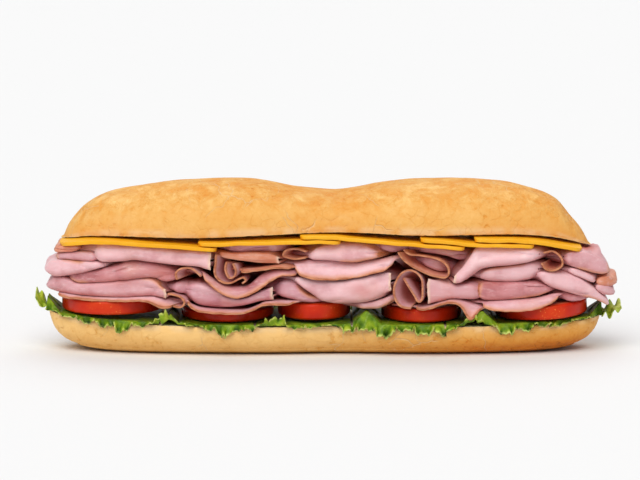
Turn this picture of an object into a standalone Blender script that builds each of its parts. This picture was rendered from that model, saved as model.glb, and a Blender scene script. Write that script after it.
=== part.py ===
"""A submarine sandwich: a split roll filled with lettuce, tomato, folded ham and cheese.

+X runs along the roll, -Y is the side that faces the viewer and +Z is up. The origin is
under the middle of the sandwich, on the surface that it stands on. Sizes are millimetres.
"""

import math

import bmesh
import bpy

MM = 0.001

# Roll
BOTTOM_ENDS = (-155.0, 150.5)
TOP_ENDS = (-148.3, 145.5)
ROLL_HALF_DEPTH = 38.0
WAIST_X = 6.0
WAIST_REACH = 27.0
WAIST_DEPTH = 4.5
BOTTOM_CUT_HEIGHT = 16.4
BOTTOM_ROUND_EDGE = 1.0
CREST = [(-148.3, 62), (-144, 71), (-134, 81), (-122, 87.5), (-102, 91.5), (-81, 94), (-45, 94.8),
         (-19, 90.5), (3, 88.7), (15, 90), (30, 92.5), (55, 94.8), (91, 94), (111, 90.5),
         (126, 84), (134, 75), (141, 66.5), (145.5, 58)]
TOP_CUT = [(-148.3, 62), (-128, 65), (-71, 65.2), (-16, 67.6), (10, 68), (51, 66.6), (95, 66.8),
           (112, 66), (128, 63.4), (145.5, 58)]
ROLL_RINGS = 32
ROLL_SIDES = 20

# Fillings
FILL_END = 161.0
FILL_HALF_DEPTH = 37.0

CHEESE_THICK = 2.0
CHEESE_HALF_DEPTH = 41.0
CHEESE_COLUMNS = 9
CHEESE_ROWS = 4

# Each slice of cheese: name, left end, right end, heights of its middle along X
CHEESE = [
    ("cheese_1", -147.5, -61, [(-147.5, 60.9), (-128, 63.3), (-100, 62.4), (-61, 59.9)]),
    ("cheese_2", -71, 6.5, [(-71, 62.8), (-60, 62.8), (-48, 63.3), (-16, 64.0), (6.5, 63.6)]),
    ("cheese_3", -15.5, 74, [(-15.5, 66.4), (2, 66.4), (15, 65.0), (50, 62.4), (74, 60.6)]),
    ("cheese_4", 50, 112, [(50, 65.2), (62, 64.4), (78, 62.6), (90, 62.2), (112, 61.2)]),
    ("cheese_5", 79.5, 138.5, [(79.5, 65.1), (98, 64.7), (112, 63.6), (124, 61.6), (138.5, 58.3)]),
]

TOMATO_SIDES = 22
TOMATO_EDGE = 1.2

# Each slice of tomato: name, middle along X, half length, half depth, underside, thickness, lean
TOMATO = [
    ("tomato_1", -119.5, 28.8, 32.0, 22.4, 7.6, 0.0),
    ("tomato_2", -56.0, 26.0, 33.5, 18.6, 5.4, 0.0),
    ("tomato_3", -8.0, 20.5, 30.5, 19.4, 9.2, 0.0),
    ("tomato_4", 51.5, 22.5, 33.5, 18.3, 7.4, 0.0),
    ("tomato_5", 118.0, 25.8, 32.5, 19.6, 8.0, -3.2),
]

LEAF_THICK = 0.7
LEAF_COLUMN_STEP = 6.0
LEAF_FRILL = 9.5

# Each leaf of lettuce: name, left end, right end, drop of its frill over the rim, wave start
LETTUCE = [
    ("lettuce_1", -162.5, -93, 5.5, 0.3),
    ("lettuce_2", -91.5, -41, 5.5, 1.9),
    ("lettuce_3", -39.5, 12, 5.0, 0.9),
    ("lettuce_4", 13.5, 63, 5.0, 2.6),
    ("lettuce_5", 64.5, 121, 5.5, 1.2),
    ("lettuce_6", 122.5, 162.5, 2.0, 0.5),
]

HAM_THICK = 1.3

# Each folded slice of ham: name, kind, reach past the fillings' edge, outline's upper and lower side
HAM_FOLDS = [
    ("ham_left_base", "flat", 0.6,
     [(-150, 32.2), (-138, 31.4), (-127, 31.1), (-112, 31.1), (-100, 31.7), (-94, 31), (-86.8, 28.8)], None),
    ("ham_left_low", "fold", 0.0,
     [(-156, 38.6), (-151, 41.2), (-146, 41.2), (-141, 38.9), (-135, 38.9), (-128, 39.5), (-115, 41.1),
      (-101, 42.5), (-97, 41.5), (-92, 38), (-89.8, 36.8)],
     [(-156, 34.6), (-150, 33.5), (-138, 32.8), (-128, 32.4), (-112, 32.4), (-100, 33), (-92, 32.6), (-89.8, 32.2)]),
    ("ham_left_middle", "fold", -1.0,
     [(-143.5, 43.5), (-137, 44.9), (-128, 46.8), (-118, 49.4), (-112, 51.7), (-105, 51.6), (-96, 50.4),
      (-86.2, 47.6)],
     [(-143.5, 40.6), (-139, 39.4), (-128, 40.2), (-115, 41.7), (-101, 43.5), (-97, 43.4), (-92, 41.7),
      (-86.2, 41.4)]),
    ("ham_left_tongue", "fold", 1.0,
     [(-157, 47.6), (-153.5, 50.4), (-146, 51.8), (-139, 51.2), (-126, 51.2)],
     [(-157, 44.2), (-152, 42.4), (-146, 43.3), (-143.5, 43.9), (-136, 45.7), (-128, 48), (-126, 48.3)]),
    ("ham_left_band", "fold", 0.5,
     [(-151, 54.6), (-145, 55.6), (-135, 56.5), (-129.6, 56.4)],
     [(-151, 51.7), (-146, 52.4), (-139, 52), (-129.6, 51.7)]),
    ("ham_left_top", "fold", 0.6,
     [(-128.9, 61.4), (-113, 61), (-99, 60), (-83, 58.8), (-64.5, 57.6)],
     [(-128.9, 51.9), (-125, 51.7), (-114, 52.5), (-109, 53.2), (-100, 52.4), (-86, 50.9), (-79, 50.4),
      (-73, 49.9), (-64.5, 48)]),
    ("ham_left_stub", "fold", 1.5,
     [(-152, 58.6), (-146, 59.3), (-140, 60)], [(-152, 55.5), (-146, 56.3), (-140, 56.9)]),
    ("ham_left_small", "fold", -2.0,
     [(-87.8, 39.4), (-84, 40.5), (-80.2, 40.4)], [(-87.8, 36.4), (-84, 35.2), (-80.2, 34)]),
    ("ham_drape_base", "flat", 1.2,
     [(-77, 30.4), (-74.9, 28), (-70.7, 26.1), (-61.3, 25.2), (-52.8, 25), (-46.5, 25.3), (-40.1, 27.7),
      (-36.5, 29.4), (-31.6, 29.8), (-25.2, 29.8), (-20.2, 29.8)], None),
    ("ham_drape", "fold", 0.0,
     [(-78.6, 39.8), (-74, 40), (-68.5, 39.2), (-64, 37.8), (-61, 35.8), (-57, 33), (-50.7, 31.7),
      (-44.3, 32.8), (-38, 36.1), (-31.4, 38.6)],
     [(-78.6, 33.8), (-74, 29.6), (-69.8, 28.2), (-59, 27.4), (-50.7, 27.9), (-44.3, 29.3), (-38.8, 30.8),
      (-31.4, 31.6)]),
    ("ham_sweep", "hang", 0.5,
     [(-69.3, 47.2), (-65, 43.4), (-61, 40.4), (-57, 38.7), (-50, 38.3), (-45, 39.3), (-40, 44),
      (-35.9, 46.4), (-29.5, 47.4), (-20.4, 47)],
     [(-69.3, 44.4), (-65.6, 40.9), (-61.3, 37), (-57, 34), (-50.7, 32.4), (-44.3, 33.6), (-38, 37),
      (-31.6, 41.6), (-25.2, 44.4), (-20.4, 44)]),
    ("ham_sweep_top", "flat", 0.4,
     [(-48.4, 47.4), (-44, 47.8), (-40, 48.2), (-31.6, 49.4), (-27, 49.9), (-21, 49)], None),
    ("ham_tube", "fold", 0.3,
     [(-60, 58), (-55, 56.9), (-49, 57), (-40, 57.2), (-33.7, 56.8), (-28, 54.6)],
     [(-60, 54.9), (-55, 54), (-50, 53.3), (-38, 52), (-28, 51.5)]),
    ("ham_back", "fold", -3.0,
     [(-58, 61.2), (-45, 61.7), (-29, 61.8)], [(-58, 58.2), (-49, 57.8), (-40, 57.9), (-29, 57.6)]),
    ("ham_wedge", "fold", -1.5,
     [(-30, 40.2), (-26, 41.6), (-22, 40.4), (-17, 35.8), (-12, 32.9), (-9, 32.1)],
     [(-30, 33.4), (-24, 32), (-16, 30.2), (-9, 29.2)]),
    ("ham_middle_top", "fold", 0.8,
     [(-11.6, 57.4), (-7, 60), (0, 61.6), (12, 62), (18, 61), (22, 59), (26, 57.5)],
     [(-11.6, 53.2), (-4, 53.2), (11, 52), (20, 53.5), (26, 54.5)]),
    ("ham_middle_tuck", "fold", -3.0,
     [(24.2, 62.2), (30, 61.9), (36.4, 61.2)], [(24.2, 59.2), (28, 58.2), (33, 57.6), (36.4, 58)]),
    ("ham_middle_band", "hang", 0.2,
     [(-19.6, 52), (-12, 52.6), (-4, 52.7), (11, 51.4), (20, 52.6), (26, 53.3), (33.5, 55.8)],
     [(-19.6, 47.8), (-17, 44.9), (-11.4, 42.8), (-0.8, 41.8), (6.4, 42.2), (20.2, 44.8), (30, 47.4),
      (33.5, 49.5)]),
    ("ham_middle_low", "fold", 0.9,
     [(-19, 44), (-11.4, 42.3), (-0.8, 41.3), (6.4, 41.6), (20.2, 44.2), (31, 46.6), (33, 46.2)],
     [(-19, 41.1), (-14, 37.2), (-9, 33.1), (-5, 30.4), (1, 29.4), (8, 29.3), (17, 30.1), (25, 32.4), (33, 36.6)]),
    ("ham_middle_base", "fold", -0.5,
     [(14, 29.1), (20, 29.3), (27, 31.2), (33.4, 34.2)], [(14, 26.2), (20, 26.2), (25, 26.4), (33.4, 30.8)]),
    ("ham_wave", "flat", 1.0,
     [(47.6, 27), (52.3, 27), (56, 27.9), (60.8, 29.6), (65.5, 30.8), (69.3, 30.6), (74.4, 28.9), (79.5, 27),
      (82, 26.6)], None),
    ("ham_right_pink", "fold", 0.2,
     [(53.4, 43.6), (60.8, 41.7), (68, 39.4), (71.4, 39.6), (77.4, 39.8), (80, 38.4)],
     [(53.4, 28.8), (60.8, 31), (65.5, 32.2), (69.3, 32.2), (75, 31.8), (80, 31.4)]),
    ("ham_loop_inner", "fold", -5.0,
     [(47.4, 54.4), (55, 53.4), (61.5, 50.6)], [(47.4, 51), (55, 47.4), (61.5, 45.8)]),
    ("ham_loop_back", "fold", -4.0,
     [(46.5, 60.6), (52, 60), (60, 59.2), (70.6, 57.8)], [(46.5, 57.6), (52, 57), (60, 55.9), (66, 54), (70.6, 52)]),
    ("ham_right_folded", "fold", 0.8,
     [(68.4, 44.6), (73, 50.2), (76.5, 55.4), (79.6, 60), (90, 60.2), (100, 59.8), (112, 59)],
     [(68.4, 41.2), (71.5, 41.2), (75.2, 43.8), (81.6, 48.6), (88, 50), (98, 50.8), (112, 53)]),
    ("ham_right_upper", "fold", -0.6,
     [(82, 46.2), (84, 47.5), (90, 48.9), (100, 49.8), (111, 51.4)],
     [(82, 42.4), (90, 41.4), (100, 41.2), (111, 43.4)]),
    ("ham_right_lower", "fold", 0.2,
     [(81, 41.4), (90, 40.6), (100, 40.4), (111, 40.1), (118, 37.9)],
     [(81, 31.6), (90, 31.4), (100, 31.8), (111, 33), (118, 35)]),
    ("ham_right_base", "cup", 1.0,
     [(84, 30.4), (92, 30.6), (105, 31), (114, 32), (123, 34.4)],
     [(84, 27), (92, 27.2), (105, 27.9), (114, 28.6), (123, 30.2)]),
    ("ham_right_under", "fold", -2.0,
     [(124.4, 35), (130, 33.3), (135.6, 32.2)], [(124.4, 31), (130, 29.6), (135.6, 29.3)]),
    ("ham_right_leaf", "fold", 0.8,
     [(113, 46.4), (118.5, 45.8), (125, 45.2), (133.5, 42.6), (142, 37), (149, 31.2), (153, 28.4)],
     [(113, 42.6), (118.1, 38.9), (124.7, 36.2), (133.5, 33.4), (142, 31), (149, 28), (153, 25.4)]),
    ("ham_right_inner", "fold", 0.0,
     [(130, 48.2), (138, 45.2), (144, 42.4)], [(130, 45), (138, 41.6), (144, 38.8)]),
    ("ham_right_top", "fold", 0.6,
     [(128, 57.4), (138, 56.2), (148, 52.4), (153, 48.2)], [(128, 50.2), (138, 46.6), (148, 44), (153, 44)]),
    ("ham_knob", "fold", 1.6,
     [(146, 41.6), (152, 42), (159, 40.6)], [(146, 37.4), (152, 36.8), (159, 37.2)]),
    ("ham_right_tail", "fold", 0.8,
     [(149.5, 36.8), (153, 36.2), (157, 34.2)], [(149.5, 33.5), (153, 31.9), (157, 30.9)]),
]

# Each curled slice of ham: name, reach past the fillings' edge, the line that its edge follows
HAM_CURLS = [
    ("ham_hook", 1.0, [(-82.6, 42.6), (-83.4, 46), (-80.8, 48.7), (-76.6, 49.1), (-73.6, 48), (-71.4, 46)]),
    ("ham_left_lip", 1.0, [(-88.2, 35), (-84, 33.9), (-80.6, 32.4), (-79.2, 29.8), (-81.2, 27.4), (-85.2, 27.8)]),
    ("ham_curl", 0.0,
     [(-62, 52), (-62.8, 46.6), (-60.8, 42.8), (-57.1, 40.9), (-53, 41.2), (-49.6, 42.8), (-46.6, 43.6),
      (-45.6, 42), (-47.4, 40.4)]),
    ("ham_curl_inner", 0.4,
     [(-55.8, 52.4), (-56.6, 48.2), (-54.6, 43.6), (-51.8, 44.4), (-50.8, 48), (-52.2, 51.4)]),
    ("ham_small_loop", 0.4,
     [(-13.4, 54.6), (-20, 54), (-25.6, 55.6), (-24, 58.8), (-18, 59.4), (-13.4, 58)]),
    ("ham_roll", 1.8,
     [(40.6, 43.6), (43.6, 39.2), (46.4, 34.8), (48.6, 30.8), (50.6, 31.6), (51.2, 36.5), (50.6, 43),
      (47.4, 47), (43, 48), (38.6, 45.2), (35.8, 39), (36.2, 32.4), (39.4, 28.2), (44.8, 27)]),
    ("ham_loop", 1.2,
     [(37.6, 57.8), (40.2, 54), (43.8, 51.1), (50, 47.6), (57, 44.8), (62.8, 43.8), (65.4, 46), (64.4, 50.6),
      (59.4, 54), (51, 55.9), (44.4, 56.6), (40.8, 59.2)]),
    ("ham_right_curl", 1.0,
     [(114.8, 51.2), (117, 47.8), (121.8, 47.2), (126, 49.6), (125.4, 54.4), (121, 57.6), (115.8, 56.8)]),
]

COLUMN_STEP = 8.5
CURL_STEP = 4.2
BOW = 8.0
PUFF_MOST = 9.0
PUFF_CLEAR = 1.4
PUFF_HALF_DEPTH = 19.0


def along(points, x):
    """Height at x of a smooth line through the points, level past its ends."""
    if x <= points[0][0]:
        return points[0][1]
    if x >= points[-1][0]:
        return points[-1][1]
    last = len(points) - 1
    k = max(i for i in range(last) if points[i][0] <= x)

    def slope(i):
        a = points[max(i - 1, 0)]
        b = points[min(i + 1, last)]
        return (b[1] - a[1]) / (b[0] - a[0])

    (x0, z0), (x1, z1) = points[k], points[k + 1]
    step = x1 - x0
    t = (x - x0) / step
    rise = (2 * t ** 3 - 3 * t ** 2 + 1) * z0 + (3 * t ** 2 - 2 * t ** 3) * z1
    return rise + step * ((t ** 3 - 2 * t ** 2 + t) * slope(k) + (t ** 3 - t ** 2) * slope(k + 1))


def waist(x):
    """How far the sides pull in between the two lobes of the roll."""
    return WAIST_DEPTH * math.exp(-(((x - WAIST_X) / WAIST_REACH) ** 2))


def blunt(x, left, right, power=3.0):
    """1 along the middle and 0 at the ends, with blunt round ends between."""
    u = abs(2 * (x - left) / (right - left) - 1)
    return (1 - min(u, 1.0) ** power) ** (1 / 2.3)


def roll_half_depth(x, ends):
    return (ROLL_HALF_DEPTH - waist(x)) * blunt(x, *ends)


def bottom_cut(x):
    """Height of the cut face of the lower half, which curls up towards both ends."""
    u = x / 152
    return BOTTOM_CUT_HEIGHT + 3.6 * u ** 4 - 1.2 * u ** 3


def fill_half_depth(x):
    return (FILL_HALF_DEPTH - waist(x)) * blunt(x, -FILL_END, FILL_END, 4.0)


def material(name, colour, roughness):
    made = bpy.data.materials.new(name)
    made.use_nodes = True
    shader = made.node_tree.nodes["Principled BSDF"]
    shader.inputs["Base Color"].default_value = (*colour, 1.0)
    shader.inputs["Roughness"].default_value = roughness
    shader.inputs["Metallic"].default_value = 0.0
    return made


def to_object(name, shape, collection, surface):
    mesh = bpy.data.meshes.new(name)
    shape.to_mesh(mesh)
    shape.free()
    mesh.shade_smooth()
    mesh.set_sharp_from_angle(angle=math.radians(50))
    mesh.materials.append(surface)
    made = bpy.data.objects.new(name, mesh)
    collection.objects.link(made)
    return made


def signed_power(value, power):
    return math.copysign(abs(value) ** power, value)


def roll_half(name, ends, section, collection, surface):
    """Half of the roll: a sphere with its poles at the two ends, drawn out along X."""
    shape = bmesh.new()
    bmesh.ops.create_uvsphere(shape, u_segments=ROLL_SIDES, v_segments=ROLL_RINGS, radius=1.0)
    middle = (ends[0] + ends[1]) / 2
    half = (ends[1] - ends[0]) / 2
    for vert in shape.verts:
        along_roll = max(-1.0, min(1.0, vert.co.z))
        x = middle + half * along_roll
        turn = math.atan2(vert.co.y, vert.co.x)
        y, z = section(x, math.cos(turn), math.sin(turn))
        vert.co = (x * MM, y * MM, z * MM)
    if shape.calc_volume(signed=True) < 0:
        bmesh.ops.reverse_faces(shape, faces=shape.faces)
    return to_object(name, shape, collection, surface)


def top_section(x, across, up):
    """A domed section over the flat cut face."""
    half = roll_half_depth(x, TOP_ENDS)
    cut = along(TOP_CUT, x)
    if up < 0:
        return half * across, cut
    height = max(along(CREST, x) - cut, 0.0)
    return half * signed_power(across, 0.86), cut + height * up ** 0.8


def bottom_section(x, across, up):
    """A flat-bottomed section with rounded lower edges under the flat cut face."""
    half = roll_half_depth(x, BOTTOM_ENDS)
    cut = bottom_cut(x)
    if up > 0:
        return half * across, cut
    depth = (cut + BOTTOM_ROUND_EDGE) * blunt(x, *BOTTOM_ENDS, power=9.0)
    return half * signed_power(across, 0.62), max(cut - depth * abs(up) ** 0.72, 0.0)


def sheet(name, columns, rows, place, thick, collection, surface):
    """A thin sheet: a flat grid whose points place() moves, thickened evenly to both sides."""
    shape = bmesh.new()
    bmesh.ops.create_grid(shape, x_segments=columns, y_segments=rows, size=0.5)
    for vert in shape.verts:
        x, y, z = place(vert.co.x + 0.5, vert.co.y + 0.5)
        vert.co = (x * MM, y * MM, z * MM)
    made = to_object(name, shape, collection, surface)
    wall = made.modifiers.new("Thickness", "SOLIDIFY")
    wall.thickness = thick * MM
    wall.offset = 0.0
    wall.use_even_offset = True
    split = made.modifiers.new("Triangles", "TRIANGULATE")
    split.quad_method = "FIXED"
    return made


def cheese_slice(name, left, right, heights, collection, surface):
    """A flexible square slice whose front and back edges hang a little."""

    def place(u, v):
        x = left + u * (right - left)
        side = 2 * v - 1
        reach = CHEESE_HALF_DEPTH * (0.25 + 0.75 * blunt(x, -152.0, 150.0, 4.0)) - 0.7 * waist(x)
        hang = 0.7 * abs(side) ** 4
        return x, side * reach, along(heights, x) - hang

    return sheet(name, CHEESE_COLUMNS, CHEESE_ROWS, place, CHEESE_THICK, collection, surface)


def tomato_slice(name, middle, half_length, half_depth, underside, thick, lean, collection, surface):
    """An oval slice with its rim rounded over."""
    shape = bmesh.new()
    bmesh.ops.create_cone(shape, cap_ends=True, segments=TOMATO_SIDES, radius1=1.0, radius2=1.0, depth=thick * MM)
    for vert in shape.verts:
        vert.co.x *= half_length * MM
        vert.co.y *= half_depth * MM
    made = to_object(name, shape, collection, surface)
    made.location = (middle * MM, 0.0, (underside + thick / 2) * MM)
    made.rotation_euler = (0.0, math.radians(lean), 0.0)
    rim = made.modifiers.new("Rim", "BEVEL")
    rim.width = TOMATO_EDGE * MM
    rim.segments = 1
    rim.limit_method = "ANGLE"
    rim.angle_limit = math.radians(50)
    return made


LEAF_ROWS = [-1.0, -0.86, -0.72, -0.6, 0.0, 0.6, 0.72, 0.86, 1.0]


def lettuce_leaf(name, left, right, drop, start, collection, surface):
    """A leaf that lies on the cut face and hangs over its rim in a frill, front and back."""
    last = len(LEAF_ROWS) - 1

    def place(u, v):
        x = left + u * (right - left)
        row = LEAF_ROWS[round(v * last)]
        rim = roll_half_depth(x, BOTTOM_ENDS)
        flat = bottom_cut(x) + 1.05
        inner = min(abs(row) / 0.6, 1.0)
        outer = max(abs(row) - 0.6, 0.0) / 0.4
        hang = max(outer - 0.3, 0.0) / 0.7
        wave = math.sin(x / LEAF_FRILL * math.tau + start)
        fast = math.cos(2.3 * x / LEAF_FRILL * math.tau + start)
        past = max(BOTTOM_ENDS[0] - 1.0 - x, x - BOTTOM_ENDS[1] - 1.0, 0.0)
        if past > 0:
            lift = 8.0 if x < 0 else 2.0
            return x, row * (7.0 + 2.5 * wave * abs(row)), flat + lift * (past / 7.5) + 1.2 * wave * row
        y = inner * max(rim - 1.0, 6.0) + outer * 4.6 + hang * 1.2 * wave
        z = flat - drop * hang * (0.75 + 0.25 * fast) + 0.9 * hang * wave
        return x, math.copysign(y, row) if row else 0.0, z

    columns = round((right - left) / LEAF_COLUMN_STEP)
    return sheet(name, columns, last, place, LEAF_THICK, collection, surface)


def arc(kind, side):
    """Points of a rounded front or back edge: share of its depth from the tip, share of the height."""
    quarter = [(1.0, 0.0), (0.08, 0.24), (0.08, 0.76), (1.0, 1.0)]
    if kind == "hang":
        quarter = [(0.1, 0.0), (0.0, 0.35), (0.12, 0.75), (1.0, 1.0)]
    if kind == "cup":
        quarter = [(1.0, 0.0), (0.12, 0.25), (0.0, 0.65), (0.1, 1.0)]
    return [(side, share, height) for share, height in quarter]


def fold_profile(kind):
    """The line that a folded slice follows from its first edge round to its last."""
    front = arc(kind, -1)
    back = arc(kind, 1)
    if kind == "cup":
        return front[::-1] + [(-1, None, 0.0), (1, None, 0.0)] + back
    puffed = front + [(-1, None, 1.0), (1, None, 1.0)] + back[::-1]
    if kind == "hang":
        return puffed
    return [(-1, None, 0.0)] + puffed + [(1, None, 0.0)]


def bowed(x, y):
    """Slices bow along X between their front and back edges, least at the ends of the roll."""
    middle = 1 - min(abs(y) / FILL_HALF_DEPTH, 1.0) ** 2
    return x + BOW * middle * (1 - min(abs(x) / FILL_END, 1.0) ** 4)


def undersides():
    """Left end, right end and height function of the underside of every slice of ham and cheese."""
    found = []
    for _, left, right, heights in CHEESE:
        found.append((left, right, lambda x, h=heights: along(h, x) - CHEESE_THICK / 2))
    for _, kind, _, upper, lower in HAM_FOLDS:
        drop = HAM_THICK / 2 if kind == "flat" else 0.0
        found.append((upper[0][0], upper[-1][0], lambda x, h=lower or upper, d=drop: along(h, x) - d))
    for _, _, points in HAM_CURLS:
        for a, b in zip(points, points[1:]):
            low = min(a[1], b[1]) - HAM_THICK / 2
            found.append((min(a[0], b[0]), max(a[0], b[0]), lambda x, h=low: h))
    return found


def ceiling(x, high, found):
    """The lowest underside above the height high, near x."""
    heights = []
    for left, right, underside in found:
        for near in (-8, -4, 0, 4, 8):
            spot = x + near
            if left - 1 <= spot <= right + 1 and underside(spot) > high - 0.3:
                heights.append(underside(spot))
    return min(heights, default=high)


def ham_fold(name, kind, reach, upper, lower, found, collection, surface):
    """A slice folded front and back, or lying flat, with its outline given from the side.

    Between its two edges a fold puffs up towards whatever lies on it.
    """
    left, right = upper[0][0], upper[-1][0]
    columns = max(3, round((right - left) / COLUMN_STEP))

    def edge(x):
        return fill_half_depth(x) + reach

    def place_flat(u, v):
        x = left + u * (right - left)
        y = (2 * v - 1) * edge(x)
        return bowed(x, y), y, along(upper, x)

    if kind == "flat":
        return sheet(name, columns + 1, 4, place_flat, HAM_THICK, collection, surface)

    profile = fold_profile(kind)
    last = len(profile) - 1

    def place(u, v):
        x = left + u * (right - left)
        low = along(lower, x) + HAM_THICK / 2
        high = along(upper, x) - HAM_THICK / 2
        side, share, height = profile[round(v * last)]
        if share is None and height == 0.0:
            y = 2.0 * side + 1.0
            return bowed(x, y), y, low
        if share is None:
            puff = ceiling(x, high + HAM_THICK / 2, found) - PUFF_CLEAR - HAM_THICK / 2
            y = side * min(PUFF_HALF_DEPTH, 0.5 * edge(x))
            return bowed(x, y), y, max(min(puff, high + PUFF_MOST), high)
        depth = min(0.8 * (high - low), 7.0)
        y = side * (edge(x) - HAM_THICK / 2 - share * depth)
        return bowed(x, y), y, low + height * (high - low)

    return sheet(name, columns, last, place, HAM_THICK, collection, surface)


def smooth_line(points, count):
    """Evenly numbered points on a smooth curve through the given ones."""
    last = len(points) - 1
    made = []
    for step in range(count + 1):
        spot = step / count * last
        k = min(int(spot), last - 1)
        t = spot - k
        a, b, c, d = (points[min(max(k + i, 0), last)] for i in (-1, 0, 1, 2))
        made.append([
            0.5 * (2 * b[i] + (c[i] - a[i]) * t + (2 * a[i] - 5 * b[i] + 4 * c[i] - d[i]) * t ** 2
                   + (3 * b[i] - a[i] - 3 * c[i] + d[i]) * t ** 3)
            for i in (0, 1)
        ])
    return made


def ham_curl(name, reach, points, collection, surface):
    """A slice curled about a line from front to back, so that its edge shows as a loop."""
    length = sum(math.dist(a, b) for a, b in zip(points, points[1:]))
    count = max(len(points) - 1, round(length / CURL_STEP))
    line = smooth_line(points, count)
    middle = sum(x for x, _ in points) / len(points)
    half = fill_half_depth(middle) + reach

    def place(u, v):
        x, z = line[round(u * count)]
        y = (2 * v - 1) * half
        return bowed(x, y), y, z

    return sheet(name, count, 3, place, HAM_THICK, collection, surface)


def main():
    for old in list(bpy.data.objects):
        bpy.data.objects.remove(old, do_unlink=True)
    parts = bpy.data.collections.new("submarine_sandwich")
    bpy.context.scene.collection.children.link(parts)

    crust = material("crust", (0.87, 0.52, 0.17), 0.6)
    cheese = material("cheese", (0.96, 0.50, 0.03), 0.35)
    tomato = material("tomato", (0.58, 0.05, 0.02), 0.25)
    lettuce = material("lettuce", (0.13, 0.33, 0.03), 0.45)
    ham = material("ham", (0.80, 0.42, 0.44), 0.4)

    roll_half("bun_bottom", BOTTOM_ENDS, bottom_section, parts, crust)
    roll_half("bun_top", TOP_ENDS, top_section, parts, crust)
    for values in CHEESE:
        cheese_slice(*values, parts, cheese)
    for values in TOMATO:
        tomato_slice(*values, parts, tomato)
    for values in LETTUCE:
        lettuce_leaf(*values, parts, lettuce)
    found = undersides()
    for values in HAM_FOLDS:
        ham_fold(*values, found, parts, ham)
    for values in HAM_CURLS:
        ham_curl(*values, parts, ham)


main()
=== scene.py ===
"""The looks of a submarine sandwich: crust, crumb, lettuce, tomato, folded ham and cheese.
"""

import math

import bmesh
import bpy
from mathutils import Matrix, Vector, noise


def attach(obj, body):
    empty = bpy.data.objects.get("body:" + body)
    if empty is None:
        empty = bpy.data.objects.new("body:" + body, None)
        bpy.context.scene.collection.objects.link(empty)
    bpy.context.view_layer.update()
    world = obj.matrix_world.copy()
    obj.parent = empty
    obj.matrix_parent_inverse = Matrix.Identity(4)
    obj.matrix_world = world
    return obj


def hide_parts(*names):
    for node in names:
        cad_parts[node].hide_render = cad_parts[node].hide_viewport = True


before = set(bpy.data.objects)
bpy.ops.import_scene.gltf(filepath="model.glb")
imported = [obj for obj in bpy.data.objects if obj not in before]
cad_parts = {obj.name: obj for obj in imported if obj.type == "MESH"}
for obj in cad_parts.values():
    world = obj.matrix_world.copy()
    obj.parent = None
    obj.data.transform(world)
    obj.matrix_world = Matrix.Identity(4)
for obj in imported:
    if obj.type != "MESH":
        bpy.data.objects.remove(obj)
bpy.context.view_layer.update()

MM = 0.001

CRUST_TONES = [
    (0.0, (0.93, 0.58, 0.215)),
    (0.28, (0.80, 0.42, 0.110)),
    (0.52, (0.75, 0.315, 0.050)),
    (0.76, (0.64, 0.195, 0.018)),
    (1.0, (0.27, 0.075, 0.012)),
]

# Camera
PHOTO_WIDTH_MM = 354.9
CAMERA_AWAY = 2000.0
CAMERA_RISE = 7.0
CAMERA_AIM = (-4.7, 0.0, 60.0)
SENSOR_MM = 36.0

# Light
FRONT_FROM = (-0.18, -0.80, 1.0)
FRONT_STRENGTH = 2.3
REAR_FROM = (0.1, 0.7, 1.0)
REAR_STRENGTH = 0.9
LIGHT_SOFTNESS = 55.0
SKY_STRENGTH = 0.40
FLOOR_WHITE = 0.805
FLOOR_REACH = 14.0

# Roll
BOTTOM_ENDS = (-155.0, 150.5)
TOP_ENDS = (-148.3, 145.5)
ROLL_HALF_DEPTH = 38.0
WAIST_X = 6.0
WAIST_REACH = 27.0
WAIST_DEPTH = 4.5
BOTTOM_CUT_HEIGHT = 16.4
BOTTOM_CUT_HALF_LENGTH = 152.0
BOTTOM_CUT_RISE = 3.6
BOTTOM_CUT_TILT = 1.2
BOTTOM_ROUND_EDGE = 1.0
BOTTOM_BLUNT = 9.0
BOTTOM_SQUARE = (0.62, 0.72)
TOP_SQUARE = (0.86, 0.8)
TOP_THIN = 8.0
CREST = [(-148.3, 62), (-144, 71), (-134, 81), (-122, 87.5), (-102, 91.5), (-81, 94), (-45, 94.8),
         (-19, 90.5), (3, 88.7), (15, 90), (30, 92.5), (55, 94.8), (91, 94), (111, 90.5),
         (126, 84), (134, 75), (141, 66.5), (145.5, 58)]
TOP_CUT = [(-148.3, 62), (-128, 65), (-71, 65.2), (-16, 67.6), (10, 68), (51, 66.6), (95, 66.8),
           (112, 66), (128, 63.4), (145.5, 58)]
ROLL_RINGS = 300
ROLL_SIDES = 176
RIM_ROUND = 1.1
RIM_SHARE = 0.07
BLUNT_ROOT = 1 / 2.3

# Relief of the crust, as depth, size of the bumps and seed
DENTS = [(0.55, 34, 1.0), (0.3, 13, 2.0)]
CRUST_INSET = 0.8
CRUST_WRINKLE = 0.13
CRUST_GRAIN = 0.07
CRACK_CELL = 30.0
CRACK_WIDE = 0.07
CRACK_DEPTH = 0.22
FLAKE_DEPTH = 0.12
FLOUR = 0.55
FLOOR_CLEAR = 3.0

# Fillings
FILL_END = 161.0
FILL_HALF_DEPTH = 37.0
FILL_BLUNT = 4.0

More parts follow.
